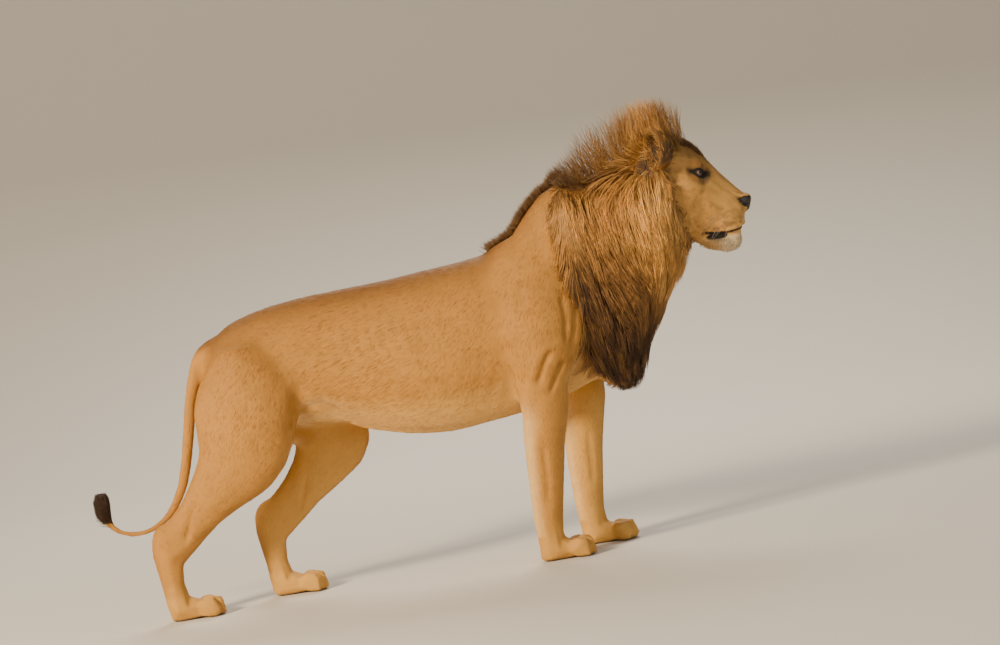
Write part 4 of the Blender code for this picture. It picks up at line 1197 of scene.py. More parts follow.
colour = np.clip(spread(colour, links, 1), 0, 1)
store(skin_mesh, "coat_colour", "FLOAT_COLOR", np.hstack([colour, np.ones((len(at), 1))]))
store(skin_mesh, "lie", "FLOAT_VECTOR", lie)
store(skin_mesh, "hair_length", "FLOAT", hair_length)
print("kept on the skin:", [item.name for item in skin_mesh.attributes if item.domain == "POINT"])

# %% [markdown]
# ## Materials
#
# Shader maths is written as plain expressions through one small class. Hair colour changes finely along
# the lie of the coat, so the streaks are noise on coordinates that are squeezed along the lie.

# %% Shader expressions
class Value:
    """A number in a shader. Arithmetic on it adds Math nodes."""

    def __init__(self, shader, socket):
        self.shader, self.socket = shader, socket

    def math(self, operation, *others):
        """Any Math node on this number and others."""
        made = self.shader.node("ShaderNodeMath", {"operation": operation}, [self, *others])
        return Value(self.shader, made.outputs[0])

    def __add__(self, other): return self.math("ADD", other)
    __radd__ = __add__
    def __mul__(self, other): return self.math("MULTIPLY", other)
    __rmul__ = __mul__
    def __sub__(self, other): return self.math("SUBTRACT", other)
    def __rsub__(self, other): return (self * -1.0) + other
    def __truediv__(self, other): return self.math("DIVIDE", other)

    def ramp(self, low, high):
        """0 below low, 1 above high, straight between."""
        made = self.shader.node("ShaderNodeMapRange", {"clamp": True}, [self, low, high, 0.0, 1.0])
        return Value(self.shader, made.outputs[0])


class Tree:
    """A node tree whose nodes are added by type, settings and inputs."""

    def __init__(self, tree):
        self.tree = tree

    def node(self, kind, settings=None, inputs=()):
        """One node: its type, its settings, and what feeds its sockets."""
        made = self.tree.nodes.new(kind)
        for key, value in (settings or {}).items():
            setattr(made, key, value)
        pairs = inputs.items() if isinstance(inputs, dict) else enumerate(inputs)
        for key, value in pairs:
            self.feed(made.inputs[key], value)
        return made

    def feed(self, socket, value):
        """Links a socket, or sets its value."""
        if isinstance(value, Value):
            value = value.socket
        if isinstance(value, bpy.types.NodeSocket):
            self.tree.links.new(value, socket)
        else:
            socket.default_value = value


# %% Materials built from expressions
class Shader(Tree):
    """A material's nodes, with short names for what the looks below need."""

    def __init__(self, name, constants):
        self.material = bpy.data.materials.new(name)
        self.material.use_nodes = True
        super().__init__(self.material.node_tree)
        self.surface = self.tree.nodes["Principled BSDF"]
        for key, value in constants.items():
            self.surface.inputs[key].default_value = value

    def attribute(self, name):
        return self.node("ShaderNodeAttribute", {"attribute_name": name})

    def place(self):
        return self.node("ShaderNodeTexCoord").outputs["Object"]

    def vector(self, operation, *inputs):
        return self.node("ShaderNodeVectorMath", {"operation": operation}, list(inputs))

    def noise(self, place, scale, detail=2.0):
        made = self.node("ShaderNodeTexNoise", {}, {"Vector": place, "Scale": scale, "Detail": detail})
        return Value(self, made.outputs["Fac"])

    def along(self, place, direction, squeeze):
        """Coordinates that change slowly along a direction."""
        part_along = self.vector("DOT_PRODUCT", place, direction).outputs["Value"]
        back = self.node("ShaderNodeVectorMath", {"operation": "SCALE"},
                         {0: direction, "Scale": Value(self, part_along) * squeeze})
        return self.vector("SUBTRACT", place, back.outputs[0]).outputs[0]

    def scaled(self, colour_socket, amount):
        """A colour times a number."""
        made = self.node("ShaderNodeVectorMath", {"operation": "SCALE"}, {0: colour_socket, "Scale": amount})
        return made.outputs[0]

    def bump(self, height, strength, distance):
        """A relief in the surface's normals."""
        made = self.node("ShaderNodeBump", {}, {"Strength": strength, "Distance": distance, "Height": height})
        self.feed(self.surface.inputs["Normal"], made.outputs[0])

    def colour(self, value):
        self.feed(self.surface.inputs["Base Color"], value)


# %% [markdown]
# The skin shows between the tufts, so its own colour is streaked along the lie, with slow patches like
# those of dust and sun. Each tuft of the coat has a tone of its own besides. The mane is a little
# glossier, as long hair is.

# %% Skin and coat
skin_look = Shader("skin", {"Roughness": 0.72, "IOR": 1.4})
place, lie_here = skin_look.place(), skin_look.attribute("lie").outputs["Vector"]
streaks = skin_look.noise(skin_look.along(place, lie_here, 0.88), 420.0, 3.0)
patches = skin_look.noise(place, 16.0, 4.0)
shade = 0.60 + streaks * 0.55 + patches * 0.28
skin_look.colour(skin_look.scaled(skin_look.attribute("coat_colour").outputs["Color"], shade))
skin_look.bump(streaks + patches * 0.3, 0.55, 0.0020)

coat_look = Shader("coat hair", {"Roughness": 0.60, "IOR": 1.45})
grain = coat_look.noise(coat_look.place(), 16.0, 4.0)
tone = Value(coat_look, coat_look.attribute("tone").outputs["Fac"])
coat_look.colour(coat_look.scaled(coat_look.attribute("coat_colour").outputs["Color"],
                                  0.58 + tone * 0.56 + grain * 0.28))

mane_look = Shader("mane hair", {"Roughness": 0.52, "IOR": 1.5})
grain = mane_look.noise(mane_look.place(), 60.0, 2.0)
mane_look.colour(mane_look.scaled(mane_look.attribute("coat_colour").outputs["Color"], 0.72 + grain * 0.55))
print("looks:", [look.material.name for look in (skin_look, coat_look, mane_look)])

# %% [markdown]
# Nose leather is pebbled, like a very fine cobbled street: flat cells with narrow valleys between them,
# which is what a Voronoi texture's distance to the edge gives. The valleys are also painted darker, as
# painted shade. It is damp, so it is less rough than skin.

# %% Nose leather
LEATHER_COLOUR = (0.030, 0.022, 0.018)
leather_look = Shader("nose leather", {"IOR": 1.45})
cells = leather_look.node("ShaderNodeTexVoronoi", {"feature": "DISTANCE_TO_EDGE"},
                          {"Vector": leather_look.place(), "Scale": 620.0})
pebbles = Value(leather_look, cells.outputs["Distance"]).ramp(0.0, 0.25)
sheen = leather_look.noise(leather_look.place(), 90.0)
# the colour is darker in the valleys between the pebbles: painted shade
leather_look.colour(leather_look.scaled(LEATHER_COLOUR, 0.6 + pebbles * 0.5 + sheen * 0.3))
leather_look.bump(pebbles, 0.35, 0.0005)
leather_look.feed(leather_look.surface.inputs["Roughness"], 0.30 + sheen * 0.22)
print("leather:", len(leather_look.tree.nodes), "nodes")

# %% [markdown]
# ### Eyes
#
# A lion's iris is amber round a round pupil, with a dark ring outside it. Here the amber is darkened, as
# painted shade from the brow. A ramp over the angle from the gaze gives the rings, and a clear coat makes
# the ball wet. The gaze is mirrored, so each eye has its own material.

# %% The look of an eye
GAZE = (0.71, 0.68, 0.06)
IRIS, PUPIL = math.radians(56), math.radians(17)


def eye_look(word, side):
    """Amber round a round black pupil, a dark ring, and dull white beyond; the amber is darkened as painted
    shade from the brow.
    """
    gaze = np.array(GAZE) * (1, side, 1)
    gaze /= np.linalg.norm(gaze)
    look = Shader("eye " + word, {"Roughness": 0.08, "Coat Weight": 1.0, "Coat Roughness": 0.02})
    ray = look.vector("NORMALIZE", look.vector("SUBTRACT", look.place(), tuple(EYE_PLACE[side])).outputs[0])
    facing = Value(look, look.vector("DOT_PRODUCT", ray.outputs[0], tuple(gaze)).outputs["Value"])
    angle = facing.math("ARCCOSINE")
    fibres = look.noise(ray.outputs[0], 55.0, 3.0)
    ramp = look.node("ShaderNodeValToRGB", {}, [angle / IRIS + (fibres - 0.5) * 0.10])
    # the amber stops are darker than a lion's own amber: painted shade from the brow over the eye
    stops = [(0.0, (0.004, 0.003, 0.003)), (PUPIL / IRIS, (0.006, 0.004, 0.003)),
             (PUPIL / IRIS + 0.06, (0.11, 0.046, 0.010)), (0.62, (0.16, 0.070, 0.014)),
             (0.84, (0.070, 0.030, 0.008)), (0.93, (0.012, 0.008, 0.005)), (1.0, (0.05, 0.035, 0.028))]
    elements = ramp.color_ramp.elements
    while len(elements) < len(stops):
        elements.new(0.5)
    for element, (position, tint) in zip(elements, stops):
        element.position, element.color = position, (*tint, 1.0)
    look.colour(ramp.outputs["Color"])
    return look.material


# %% Eyeballs
for word, side in SIDES:
    ball = bmesh.new()
    gaze = Vector(GAZE) * Vector((1, side, 1))
    turn = gaze.to_track_quat("Z", "Y").to_matrix().to_4x4()
    bmesh.ops.create_uvsphere(ball, u_segments=48, v_segments=32, radius=EYE_RADIUS,
                              matrix=Matrix.Translation(EYE_PLACE[side]) @ turn)
    eye_mesh = mesh_from(ball, "eyeball_" + word)
    eye_mesh.shade_smooth()
    eye_mesh.materials.append(eye_look(word, side))
    eyeball = add_object("eyeball_" + word, eye_mesh)
    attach(eyeball, "root")
    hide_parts("eye_" + word)
    print(eyeball.name, len(eye_mesh.polygons), "faces")

# %% The nose leather and the skin as pieces
nose_skin.materials.clear()
nose_skin.materials.append(leather_look.material)
nose_skin.shade_smooth()
nose_leather = add_object("nose_leather", nose_skin)
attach(nose_leather, "root")
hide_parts("nose")

skin = add_object("skin", skin_mesh)
skin_mesh.materials.append(skin_look.material)
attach(skin, "root")
for name in flesh_nodes:
    if name != "nose":
        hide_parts(name)
print("skin replaces", len(flesh_nodes) - 1, "solids")

# %% [markdown]
# ## Where each hair sits on an unwrap of the skin
#
# The export bakes every coat piece through a map named OFBake. The skin's shape is unwrapped once, on a
# lighter copy, and each tuft gets a small patch at its root's place on that unwrap.

# %% Unwrap a light copy of the skin
LIGHT_SHARE = 0.06
light = add_object("light skin", skin_mesh.copy())
thin_out(light, LIGHT_SHARE)
proxy = add_object("proxy", applied(light))
bpy.ops.object.select_all(action="DESELECT")
proxy.select_set(True)
bpy.context.view_layer.objects.active = proxy
bpy.ops.object.mode_set(mode="EDIT")
bpy.ops.mesh.select_all(action="SELECT")
bpy.ops.uv.smart_project(angle_limit=math.radians(66), island_margin=0.002)
bpy.ops.object.mode_set(mode="OBJECT")
proxy_corners = points_of(proxy.data)
proxy_faces = np.array([tuple(face.vertices) for face in proxy.data.polygons])
unwrap = np.empty(len(proxy.data.loops) * 2, np.float32)
proxy.data.uv_layers.active.data.foreach_get("uv", unwrap)
unwrap = unwrap.reshape(-1, 3, 2)
proxy_tree = BVHTree.FromPolygons(proxy_corners.tolist(), proxy_faces.tolist())
bpy.data.objects.remove(proxy)
print("unwrap:", len(proxy_faces), "triangles")


def unwrap_at(points):
    """The place on the unwrap of each point near the skin."""
    made = np.zeros((len(points), 2))
    for i, point in enumerate(points):
        nearest, _, face, _ = proxy_tree.find_nearest(point)
        a, b, c = proxy_corners[proxy_faces[face]]
        area = np.cross(b - a, c - a)
        share = area @ area + 1e-20
        u = np.cross(c - b, np.array(nearest) - b) @ area / share
        v = np.cross(a - c, np.array(nearest) - c) @ area / share
        made[i] = u * unwrap[face][0] + v * unwrap[face][1] + (1 - u - v) * unwrap[face][2]
    return made


# %% Each tuft's place on the unwrap
PATCH = 0.003


def bake_map(mesh, roots, per_tuft):
    """The OFBake map of a piece whose tufts follow one another, each with the same count of points."""
    uv = unwrap_at(roots)
    turn = np.arange(per_tuft) * 2.4
    spot = np.stack([np.cos(turn), np.sin(turn)], 1) * PATCH / 2 * np.linspace(0.4, 1.0, per_tuft)[:, None]
    per_point = (uv[:, None, :] + spot[None]).reshape(-1, 2)
    corner = np.empty(len(mesh.loops), np.int32)
    mesh.loops.foreach_get("vertex_index", corner)
    layer = mesh.uv_layers.new(name="OFBake")
    layer.data.foreach_set("uv", np.ascontiguousarray(per_point[corner], np.float32).ravel())


# %% [markdown]
# ## Short fur
#
# A lion's short hair lies flat, and in life it shows as a soft grain and a fuzzy edge. So the skin
# carries streaked bump, and small pointed tufts stand on it everywhere, following the lie. Geometry
# Nodes scatter them: points over the skin by density, one thin tuft on each, turned along the lie and
# raised a little, with its own length, tone and tilt. They are smallest on the face and the paws.

# %% The tree that plants tufts
ROOT_DEPTH = 0.0006  # how far a tuft's root lies in the skin
TUFT_BEND, TUFT_SWELL, TUFT_FLAT = 0.55, 0.9, 0.45  # as shares of its length and width


def plant_tree():
    """Geometry Nodes that plant a thin tuft on each of many points of the skin."""
    tree = bpy.data.node_groups.new("short fur", "GeometryNodeTree")
    for name, kind in (("Geometry", "Geometry"), ("Mask", "String"), ("Per Square Metre", "Float"),
                       ("Width", "Float"), ("Length Share", "Float"), ("Lift", "Float"), ("Ruffle", "Float"),
                       ("Segments", "Int"), ("Seed", "Int"), ("Material", "Material")):
        tree.interface.new_socket(name, in_out="INPUT", socket_type="NodeSocket" + kind)
    tree.interface.new_socket("Geometry", in_out="OUTPUT", socket_type="NodeSocketGeometry")
    node = Tree(tree).node

    def attribute(name, kind="FLOAT"):
        return node("GeometryNodeInputNamedAttribute", {"data_type": kind}, {"Name": name}).outputs[0]

    def times(a, b):
        return node("ShaderNodeMath", {"operation": "MULTIPLY"}, {0: a, 1: b}).outputs[0]

    def plus(a, b):
        return node("ShaderNodeMath", {"operation": "ADD"}, {0: a, 1: b}).outputs[0]

    def vector(operation, a, b):
        second = "Scale" if operation == "SCALE" else 1
        return node("ShaderNodeVectorMath", {"operation": operation}, {0: a, second: b}).outputs[0]

    def chance(low, high, seed_shift, kind="FLOAT"):
        made = node("FunctionNodeRandomValue", {"data_type": kind},
                    {"Seed": plus(given["Seed"], float(seed_shift))})
        index = 0 if kind == "FLOAT_VECTOR" else 2
        made.inputs[index].default_value = low
        made.inputs[index + 1].default_value = high
        return made.outputs[0 if kind == "FLOAT_VECTOR" else 1]

    given = node("NodeGroupInput").outputs
    density = times(attribute(given["Mask"]), given["Per Square Metre"])
    points = node("GeometryNodeDistributePointsOnFaces", {"distribute_method": "RANDOM"},
                  {"Mesh": given["Geometry"], "Density": density, "Seed": given["Seed"]})
    outward = points.outputs["Normal"]
    rise = vector("SCALE", outward, given["Lift"])
    stray = vector("SCALE", chance((-1, -1, -1), (1, 1, 1), 1, "FLOAT_VECTOR"), given["Ruffle"])
    direction = vector("ADD", vector("ADD", attribute("lie", "FLOAT_VECTOR"), rise), stray)
    turn = node("FunctionNodeAxesToRotation", {"primary_axis": "Z", "secondary_axis": "Y"},
                {"Primary Axis": direction, "Secondary Axis": outward})
    long = times(times(attribute("hair_length"), given["Length Share"]), chance(0.65, 1.30, 2))
    wide = times(given["Width"], chance(0.70, 1.30, 3))
    size = node("ShaderNodeCombineXYZ", {}, {"X": wide, "Y": wide, "Z": long}).outputs[0]
    kept = node("GeometryNodeStoreNamedAttribute", {"data_type": "FLOAT", "domain": "POINT"},
                {"Geometry": points.outputs["Points"], "Name": "tone", "Value": chance(0.0, 1.0, 4)})
    here = node("GeometryNodeInputPosition").outputs[0]
    rooted = vector("ADD", here, vector("SCALE", outward, -ROOT_DEPTH))
    kept = node("GeometryNodeStoreNamedAttribute", {"data_type": "FLOAT_VECTOR", "domain": "POINT"},
                {"Geometry": kept.outputs[0], "Name": "root", "Value": here})
    sunk = node("GeometryNodeSetPosition", {}, {"Geometry": kept.outputs[0], "Position": rooted})

    # one tuft: a cone of three sides, flattened, swelled above its root and bent over
    cone = node("GeometryNodeMeshCone", {"fill_type": "NGON"},
                {"Vertices": 3, "Side Segments": given["Segments"], "Radius Top": 0.0, "Radius Bottom": 0.5,
                 "Depth": 1.0})
    apart = node("ShaderNodeSeparateXYZ", {}, {"Vector": here})
    along = apart.outputs["Z"]
    bend = times(times(along, along), -TUFT_BEND)
    swell = plus(times(along, TUFT_SWELL), 1.0)
    shaped = node("ShaderNodeCombineXYZ", {}, {
        "X": times(apart.outputs["X"], swell),
        "Y": plus(times(apart.outputs["Y"], TUFT_FLAT), bend), "Z": along})
    tuft = node("GeometryNodeSetPosition", {}, {"Geometry": cone.outputs["Mesh"],
                                                "Position": shaped.outputs[0]})
    planted = node("GeometryNodeInstanceOnPoints", {}, {
        "Points": sunk.outputs[0], "Instance": tuft.outputs[0], "Rotation": turn.outputs[0], "Scale": size})
    real = node("GeometryNodeRealizeInstances", {}, {"Geometry": planted.outputs[0]})
    dressed = node("GeometryNodeSetMaterial", {},
                   {"Geometry": real.outputs[0], "Material": given["Material"]})
    node("NodeGroupOutput", {}, {0: dressed.outputs[0]})
    return tree


fur_tree = plant_tree()
fur_sockets = {item.name: item.identifier for item in fur_tree.interface.items_tree
               if item.in_out == "INPUT"}
print("fur tree:", len(fur_tree.nodes), "nodes")

# %% [markdown]
# The tree sits in a modifier on a copy of the skin, with its inputs set by their identifiers, and the
# result becomes a plain mesh. Every tuft has as many points as the next, so roots are found by counting.

# %% Plant one piece of fur
TUFT_SEGMENTS = 1
TUFT_POINTS = 3 * TUFT_SEGMENTS + 1


def plant(name, slot, mask, **sizes):
    """One piece of short fur, as a plain mesh, where a mask on the skin is 1."""
    bed_mesh = skin_mesh.copy()
    store(bed_mesh, "mask", "FLOAT", mask)
    bed = add_object("bed", bed_mesh)
    grow = bed.modifiers.new("fur", "NODES")
    grow.node_group = fur_tree
    grow[fur_sockets["Mask"]] = "mask"
    grow[fur_sockets["Segments"]] = TUFT_SEGMENTS
    grow[fur_sockets["Material"]] = coat_look.material
    for key, value in sizes.items():
        grow[fur_sockets[key.replace("_", " ").title()]] = value
    mesh = applied(bed)
    mesh.name = name
    roots = np.empty(len(mesh.vertices) * 3, np.float32)
    mesh.attributes["root"].data.foreach_get("vector", roots)
    bake_map(mesh, roots.reshape(-1, 3)[::TUFT_POINTS], TUFT_POINTS)
    piece = add_object(name, mesh)
    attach(piece, "root")
    triangles = sum(len(face.vertices) - 2 for face in mesh.polygons)
    print(name, len(mesh.vertices) // TUFT_POINTS, "tufts", triangles, "triangles")


# %% [markdown]
# The coat is planted in six pieces, each with its own density and size of tuft. None grows on the eye
# rims, the lips, the leather and the soles, or where the mane covers the skin.

# %% Where the skin stays bare
bare = 1 - np.clip(in_mane * 1.2, 0, 1)
for side in (RIGHT, LEFT):
    bare *= 1 - step(eye_opening(at, side)[0], 2.00, 1.70)
bare *= 1 - np.exp(-(mouth_gap / 0.0095) ** 4) * face * in_front
bare *= 1 - face * step(in_lip, 1.30, 1.15)
bare *= 1 - leather_rim
bare *= step(at[:, 2], 0.004, 0.010)
print("bare:", round(1 - bare.mean(), 3), "of the points")

# %% Plant the short fur
head_part = part("head", "lower_jaw", "nose") * is_head
ear_part = part("ear") * is_head
FUR = [  # name, slot, where, tufts per square metre, width, length share, lift, ruffle
    ("coat_front", "coat", part("chest", "shoulder", "neck", "belly") * (1 - is_head),
     31000.0, 0.0021, 1.05, 0.11, 0.08),
    ("coat_rear", "coat", part("rump", "thigh") * (1 - is_head), 31000.0, 0.0021, 1.05, 0.11, 0.08),
    ("coat_legs", "coat", part("forearm", "shank", "instep", "tail_base", "tail_middle", "tail_curve"),
     40000.0, 0.0020, 1.0, 0.14, 0.08),
    ("coat_paws", "paw_coat", part("fore_paw", "hind_paw"), 70000.0, 0.0018, 0.8, 0.22, 0.12),
    ("coat_face", "face_coat", head_part, 260000.0, 0.0016, 1.0, 0.20, 0.16),
    ("coat_ears", "ear_coat", ear_part, 190000.0, 0.0018, 1.6, 0.35, 0.30),
]
for seed, (name, slot, where, density, width, share, lift, ruffle) in enumerate(FUR, 1):
    plant(name, slot, bare * where, seed=seed, per_square_metre=density, width=width, length_share=share,
          lift=lift, ruffle=ruffle)

# %% [markdown]
# ## Mane
#
# Mane hair is long and grows from the cheeks, neck and breast. Each lock is a thin three-sided blade
# that leaves its root, rises and bends over to a tip under the mane's outer surface, which the solids
# give. The tips point up and back on the crest and hang down the sides. Neighbouring locks are drawn
# towards a shared tip, because mane hair falls in clumps.

# %% The shape of a lock
LOCK_RINGS = np.array([0.0, 0.30, 0.58, 0.82])
LOCK_WIDTHS = np.array([0.75, 1.0, 0.85, 0.50])
LOCK_POINTS = 3 * len(LOCK_RINGS) + 1
LOCK_FLAT = 0.5  # how thick a lock is, as a share of its width


def lock_points(root, middle, tip, facing, width, rng, wave):
    """The points of blades on curves from root to tip. Facing is the way their flat side looks."""
    count = len(root)
    phase = rng.uniform(0, 2 * math.pi, (count, 1))
    shares = np.append(LOCK_RINGS, 1.0)
    t = shares[None, :, None]
    spine = (1 - t) ** 2 * root[:, None] + 2 * t * (1 - t) * middle[:, None] + t ** 2 * tip[:, None]
    slope = unit(2 * (1 - t) * (middle - root)[:, None] + 2 * t * (tip - middle)[:, None])
    sideways = unit(np.cross(slope, facing[:, None]))
    upward = np.cross(sideways, slope)
    length = np.linalg.norm(tip - root, axis=1)[:, None]
    sway = (np.sin(phase + shares[None] * 7.0) - np.sin(phase)) * wave * length * shares[None]
    spine = spine + sideways * sway[..., None]
    points = np.empty((count, LOCK_POINTS, 3))
    for ring in range(len(LOCK_RINGS)):
        for corner, angle in enumerate(np.radians((90.0, 210.0, 330.0))):
            reach = sideways[:, ring] * math.cos(angle) + upward[:, ring] * math.sin(angle) * LOCK_FLAT
            points[:, 3 * ring + corner] = spine[:, ring] + reach * (width * LOCK_WIDTHS[ring] / 2)[:, None]
    points[:, -1] = spine[:, -1]
    return points


def lock_faces(first):
    """The triangles of one blade, turned outwards, given the points of the first."""
    faces = [(2, 1, 0)]
    for ring in range(len(LOCK_RINGS) - 1):
        for a, b in ((0, 1), (1, 2), (2, 0)):
            low_a, low_b, high_a, high_b = 3 * ring + a, 3 * ring + b, 3 * ring + 3 + a, 3 * ring + 3 + b
            faces += [(low_a, low_b, high_b), (low_a, high_b, high_a)]
    last = 3 * (len(LOCK_RINGS) - 1)
    faces = np.array(faces + [(last + a, last + b, LOCK_POINTS - 1) for a, b in ((0, 1), (1, 2), (2, 0))])
    volume = sum(np.dot(first[a], np.cross(first[b], first[c])) for a, b, c in faces)
    return faces[:, ::-1] if volume < 0 else faces


# %% A piece of hair from arrays
def lock_piece(name, root, middle, tip, facing, width, tint_root, tint_tip, rng, wave=0.0):
    """One piece of many blades, with a colour at each root and tip."""
    points = lock_points(root, middle, tip, facing, width, rng, wave)
    count = len(root)
    faces = (np.arange(count)[:, None, None] * LOCK_POINTS + lock_faces(points[0])[None]).reshape(-1, 3)
    mesh = bpy.data.meshes.new(name)
    mesh.vertices.add(count * LOCK_POINTS)
    mesh.vertices.foreach_set("co", np.ascontiguousarray(points, np.float32).ravel())
    mesh.loops.add(len(faces) * 3)
    mesh.loops.foreach_set("vertex_index", faces.astype(np.int32).ravel())
    mesh.polygons.add(len(faces))
    mesh.polygons.foreach_set("loop_start", np.arange(0, len(faces) * 3, 3, dtype=np.int32))
    mesh.update(calc_edges=True)
    share = np.append(np.repeat(LOCK_RINGS, 3), 1.0)[None, :, None]
    tint = tint_root[:, None] * (1 - share) + tint_tip[:, None] * share
    store(mesh, "coat_colour", "FLOAT_COLOR", np.concatenate([tint, np.ones_like(tint[..., :1])], 2))
    bake_map(mesh, root, LOCK_POINTS)
    mesh.shade_smooth()
    mesh.materials.append(mane_look.material)
    piece = add_object(name, mesh)
    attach(piece, "root")
    print(name, count, "locks", len(faces), "triangles")


# %% [markdown]
# ### Where locks are rooted
#
# Roots are drawn at random from the faces of the skin, large faces more often. What the skin knows there,
# such as its normal or its colour, is blended from the face's three corners.

# %% Random roots on the skin
skin_tree = BVHTree.FromPolygons(at.tolist(), [tuple(face.vertices) for face in skin_mesh.polygons])
skin_faces = np.empty(len(skin_mesh.polygons) * 3, np.int32)
skin_mesh.polygons.foreach_get("vertices", skin_faces)
skin_faces = skin_faces.reshape(-1, 3)
a, b, c = (at[skin_faces[:, i]] for i in range(3))
face_area = np.linalg.norm(np.cross(b - a, c - a), axis=1) / 2


def pick_roots(mask, count, rng):
    """Random places on the skin where a mask is high: the corners of their faces and their shares."""
    weight = face_area * mask[skin_faces].mean(1) ** 2
    face = rng.choice(len(skin_faces), count, p=weight / weight.sum())
    u, v = rng.uniform(0, 1, (2, count))
    flip = u + v > 1
    u[flip], v[flip] = 1 - u[flip], 1 - v[flip]
    return skin_faces[face], np.stack([1 - u - v, u, v], 1)


def gather(values, corners, shares):
    """Values of the skin's points, blended at places inside their faces."""
    return (values[corners] * shares[..., None]).sum(1)


def rooted(mask, count, rng):
    """Roots where a mask is high, with the skin's normal, lie and colour there."""
    places = pick_roots(mask, count, rng)
    return gather(at, *places), unit(gather(out, *places)), gather(lie, *places), gather(colour, *places)


# %% Roots of the mane
MANE_LOCKS = 33000
rng = np.random.default_rng(11)
places = pick_roots(np.sqrt(in_mane) * (0.40 + 0.60 * step(x, 0.25, 0.18)), MANE_LOCKS, rng)
root, normal, lie_there, skin_there = (gather(values, *places) for values in (at, out, lie, colour))
normal = unit(normal)
thick = gather(in_mane[:, None], *places)[:, 0]
print("mane roots:", len(root))

# %% [markdown]
# ### Which way the mane runs
#
# A mane stands up on the crest, runs back behind the ears, and hangs on the sides and the breast. The
# neck's middle line tells how far round the neck a root lies, and that angle blends the directions.

# %% The neck's middle line
AXES = [[(0.590, 1.180), (0.460, 1.150), (0.350, 1.040), (0.300, 0.860), (0.300, 0.650)],
        [(0.350, 1.040), (-0.200, 0.880)]]


def from_axis(points):
    """The direction from the middle line of the neck out to each point."""
    local = points - FOREFOOT
    nearest, best = np.zeros_like(local), np.full(len(local), 9.0)
    for (ax, az), (bx, bz) in [span for axis in AXES for span in zip(axis, axis[1:])]:
        start, way = np.array((ax, 0, az)), np.array((bx - ax, 0, bz - az))
        share = np.clip(((local - start) @ way) / (way @ way), 0, 1)
        spot = start + share[:, None] * way
        gap = np.linalg.norm(local - spot, axis=1)
        nearer = gap < best
        best[nearer], nearest[nearer] = gap[nearer], spot[nearer]
    return unit(local - nearest)


def rise_of(outward):
    """How far round from the side a direction points, in degrees: 90 along the top, -90 underneath."""
    return np.degrees(np.arccos(abs(outward[:, 1]).clip(0, 1))) * np.sign(outward @ BACKBONE_OUT)


outward = from_axis(root)
rise = rise_of(outward)
print("roots on the crest:", int((rise > 60).sum()))

# %% How deep the mane is
mane_corners, mane_faces = [], []
for name in HAIR_NODES + ("neck", "chest", "head", "lower_jaw"):
    mesh = nodes[name].data
    mane_faces += [tuple(len(mane_corners) + i for i in face.vertices) for face in mesh.polygons]
    mane_corners += [tuple(vert.co) for vert in mesh.vertices]
mane_tree = BVHTree.FromPolygons(mane_corners, mane_faces)
FAR_OUT, UNCOVERED = 0.5, -1.0


def cover_over(points, outward):
    """How deep the solids' outer surface lies over each point, or UNCOVERED where there is none."""
    depth = np.full(len(points), UNCOVERED)
    for i, (point, direction) in enumerate(zip(points, outward)):
        direction = Vector(direction)
        hit, _, _, gap = mane_tree.ray_cast(Vector(point) + direction * FAR_OUT, -direction, 0.9)
        if hit is not None:
            depth[i] = FAR_OUT - gap
    return depth


cover = cover_over(root, outward)
print("cover over the roots, mean:", round(float(cover[cover > UNCOVERED].mean()), 3))


# %% Which way the mane runs
def flow_at(points, outward):
    """Which way the mane runs: up and back on the crest, down on the sides, down the breast."""
    local = points - FOREFOOT
    px, side, pz = local[:, 0], np.sign(local[:, 1]), local[:, 2]
    ones = np.ones(len(points))
    head_top, nape, withers = np.array([(-0.10, 0, 1.0), (-0.45, 0, 0.89), (-0.80, 0, 0.60)])
    along = step(px, 0.20, 0.50)[:, None]
    crest = nape * (1 - along) + head_top * along
    on_withers = step(px, 0.16, 0.02)[:, None]
    crest = crest * (1 - on_withers) + withers * on_withers
    forward = 0.08 + 0.40 * np.exp(-((px - 0.36) / 0.09) ** 2 - ((pz - 0.97) / 0.14) ** 2)
    hang = np.stack([forward, 0.16 * side, -ones], 1)
    behind_ear = (step(px, 0.34, 0.42) * step(pz, 1.05, 1.15))[:, None]
    back = np.stack([-0.80 * ones, 0.36 * side, -0.30 * ones], 1)
    back = back * behind_ear + hang * (1 - behind_ear)
    rise = rise_of(outward)
    up, down = step(rise, 58, 72)[:, None], step(rise, 60, 36)[:, None]
    return unit(crest * up + hang * down + back * (1 - np.maximum(up, down)))


at_edge = (1 - step(thick, 0.25, 0.95)) * step(rise, 62, 50)
flow = unit(flow_at(root, outward) * (1 - at_edge[:, None]) + lie_there * at_edge[:, None])
print("locks that lie with the coat:", int((at_edge > 0.5).sum()))

# %% [markdown]
# ### How far the locks reach
#
# The side locks are the longest, and the crest's are as long as the solids are deep there. They shorten
# towards the face, the withers and the mane's edge. Each tip is then lifted to a random depth under the
# solids' outer surface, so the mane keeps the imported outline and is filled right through.

# %% Tips of the locks
px, pz = (root - FOREFOOT)[:, 0], (root - FOREFOOT)[:, 2]
reach = 0.170 - 0.060 * step(px, 0.50, 0.60) + 0.02 * step(pz, 0.90, 0.70)
reach = np.where(rise > 60, np.clip(cover * 1.15, 0.050, 0.180), reach)
reach *= 0.30 + 0.70 * step(np.interp(pz, *FACE_LINE) - px, 0.0, 0.045)
on_crest = step(rise, 56, 68)
reach *= 0.30 + 0.70 * np.maximum(step(thick, 0.20, 0.90), on_crest)
on_withers = step(px, 0.25, 0.15) * on_crest
reach = reach * (1 - on_withers) + rng.uniform(0.030, 0.050, MANE_LOCKS) * on_withers
reach *= rng.uniform(0.55, 1.12, MANE_LOCKS) * (1 - 0.35 * on_crest * rng.uniform(0, 1, MANE_LOCKS))
stray = rng.normal(0, 1, root.shape) * (0.10 + 0.17 * on_crest)[:, None]
aimed = root + unit(flow + stray) * reach[:, None]
outward = from_axis(aimed)
surface_share = 1.04 - 0.60 * rng.uniform(0, 1, MANE_LOCKS) ** 1.4
surface_share += 0.16 * on_crest * rng.uniform(0, 1, MANE_LOCKS) ** 3
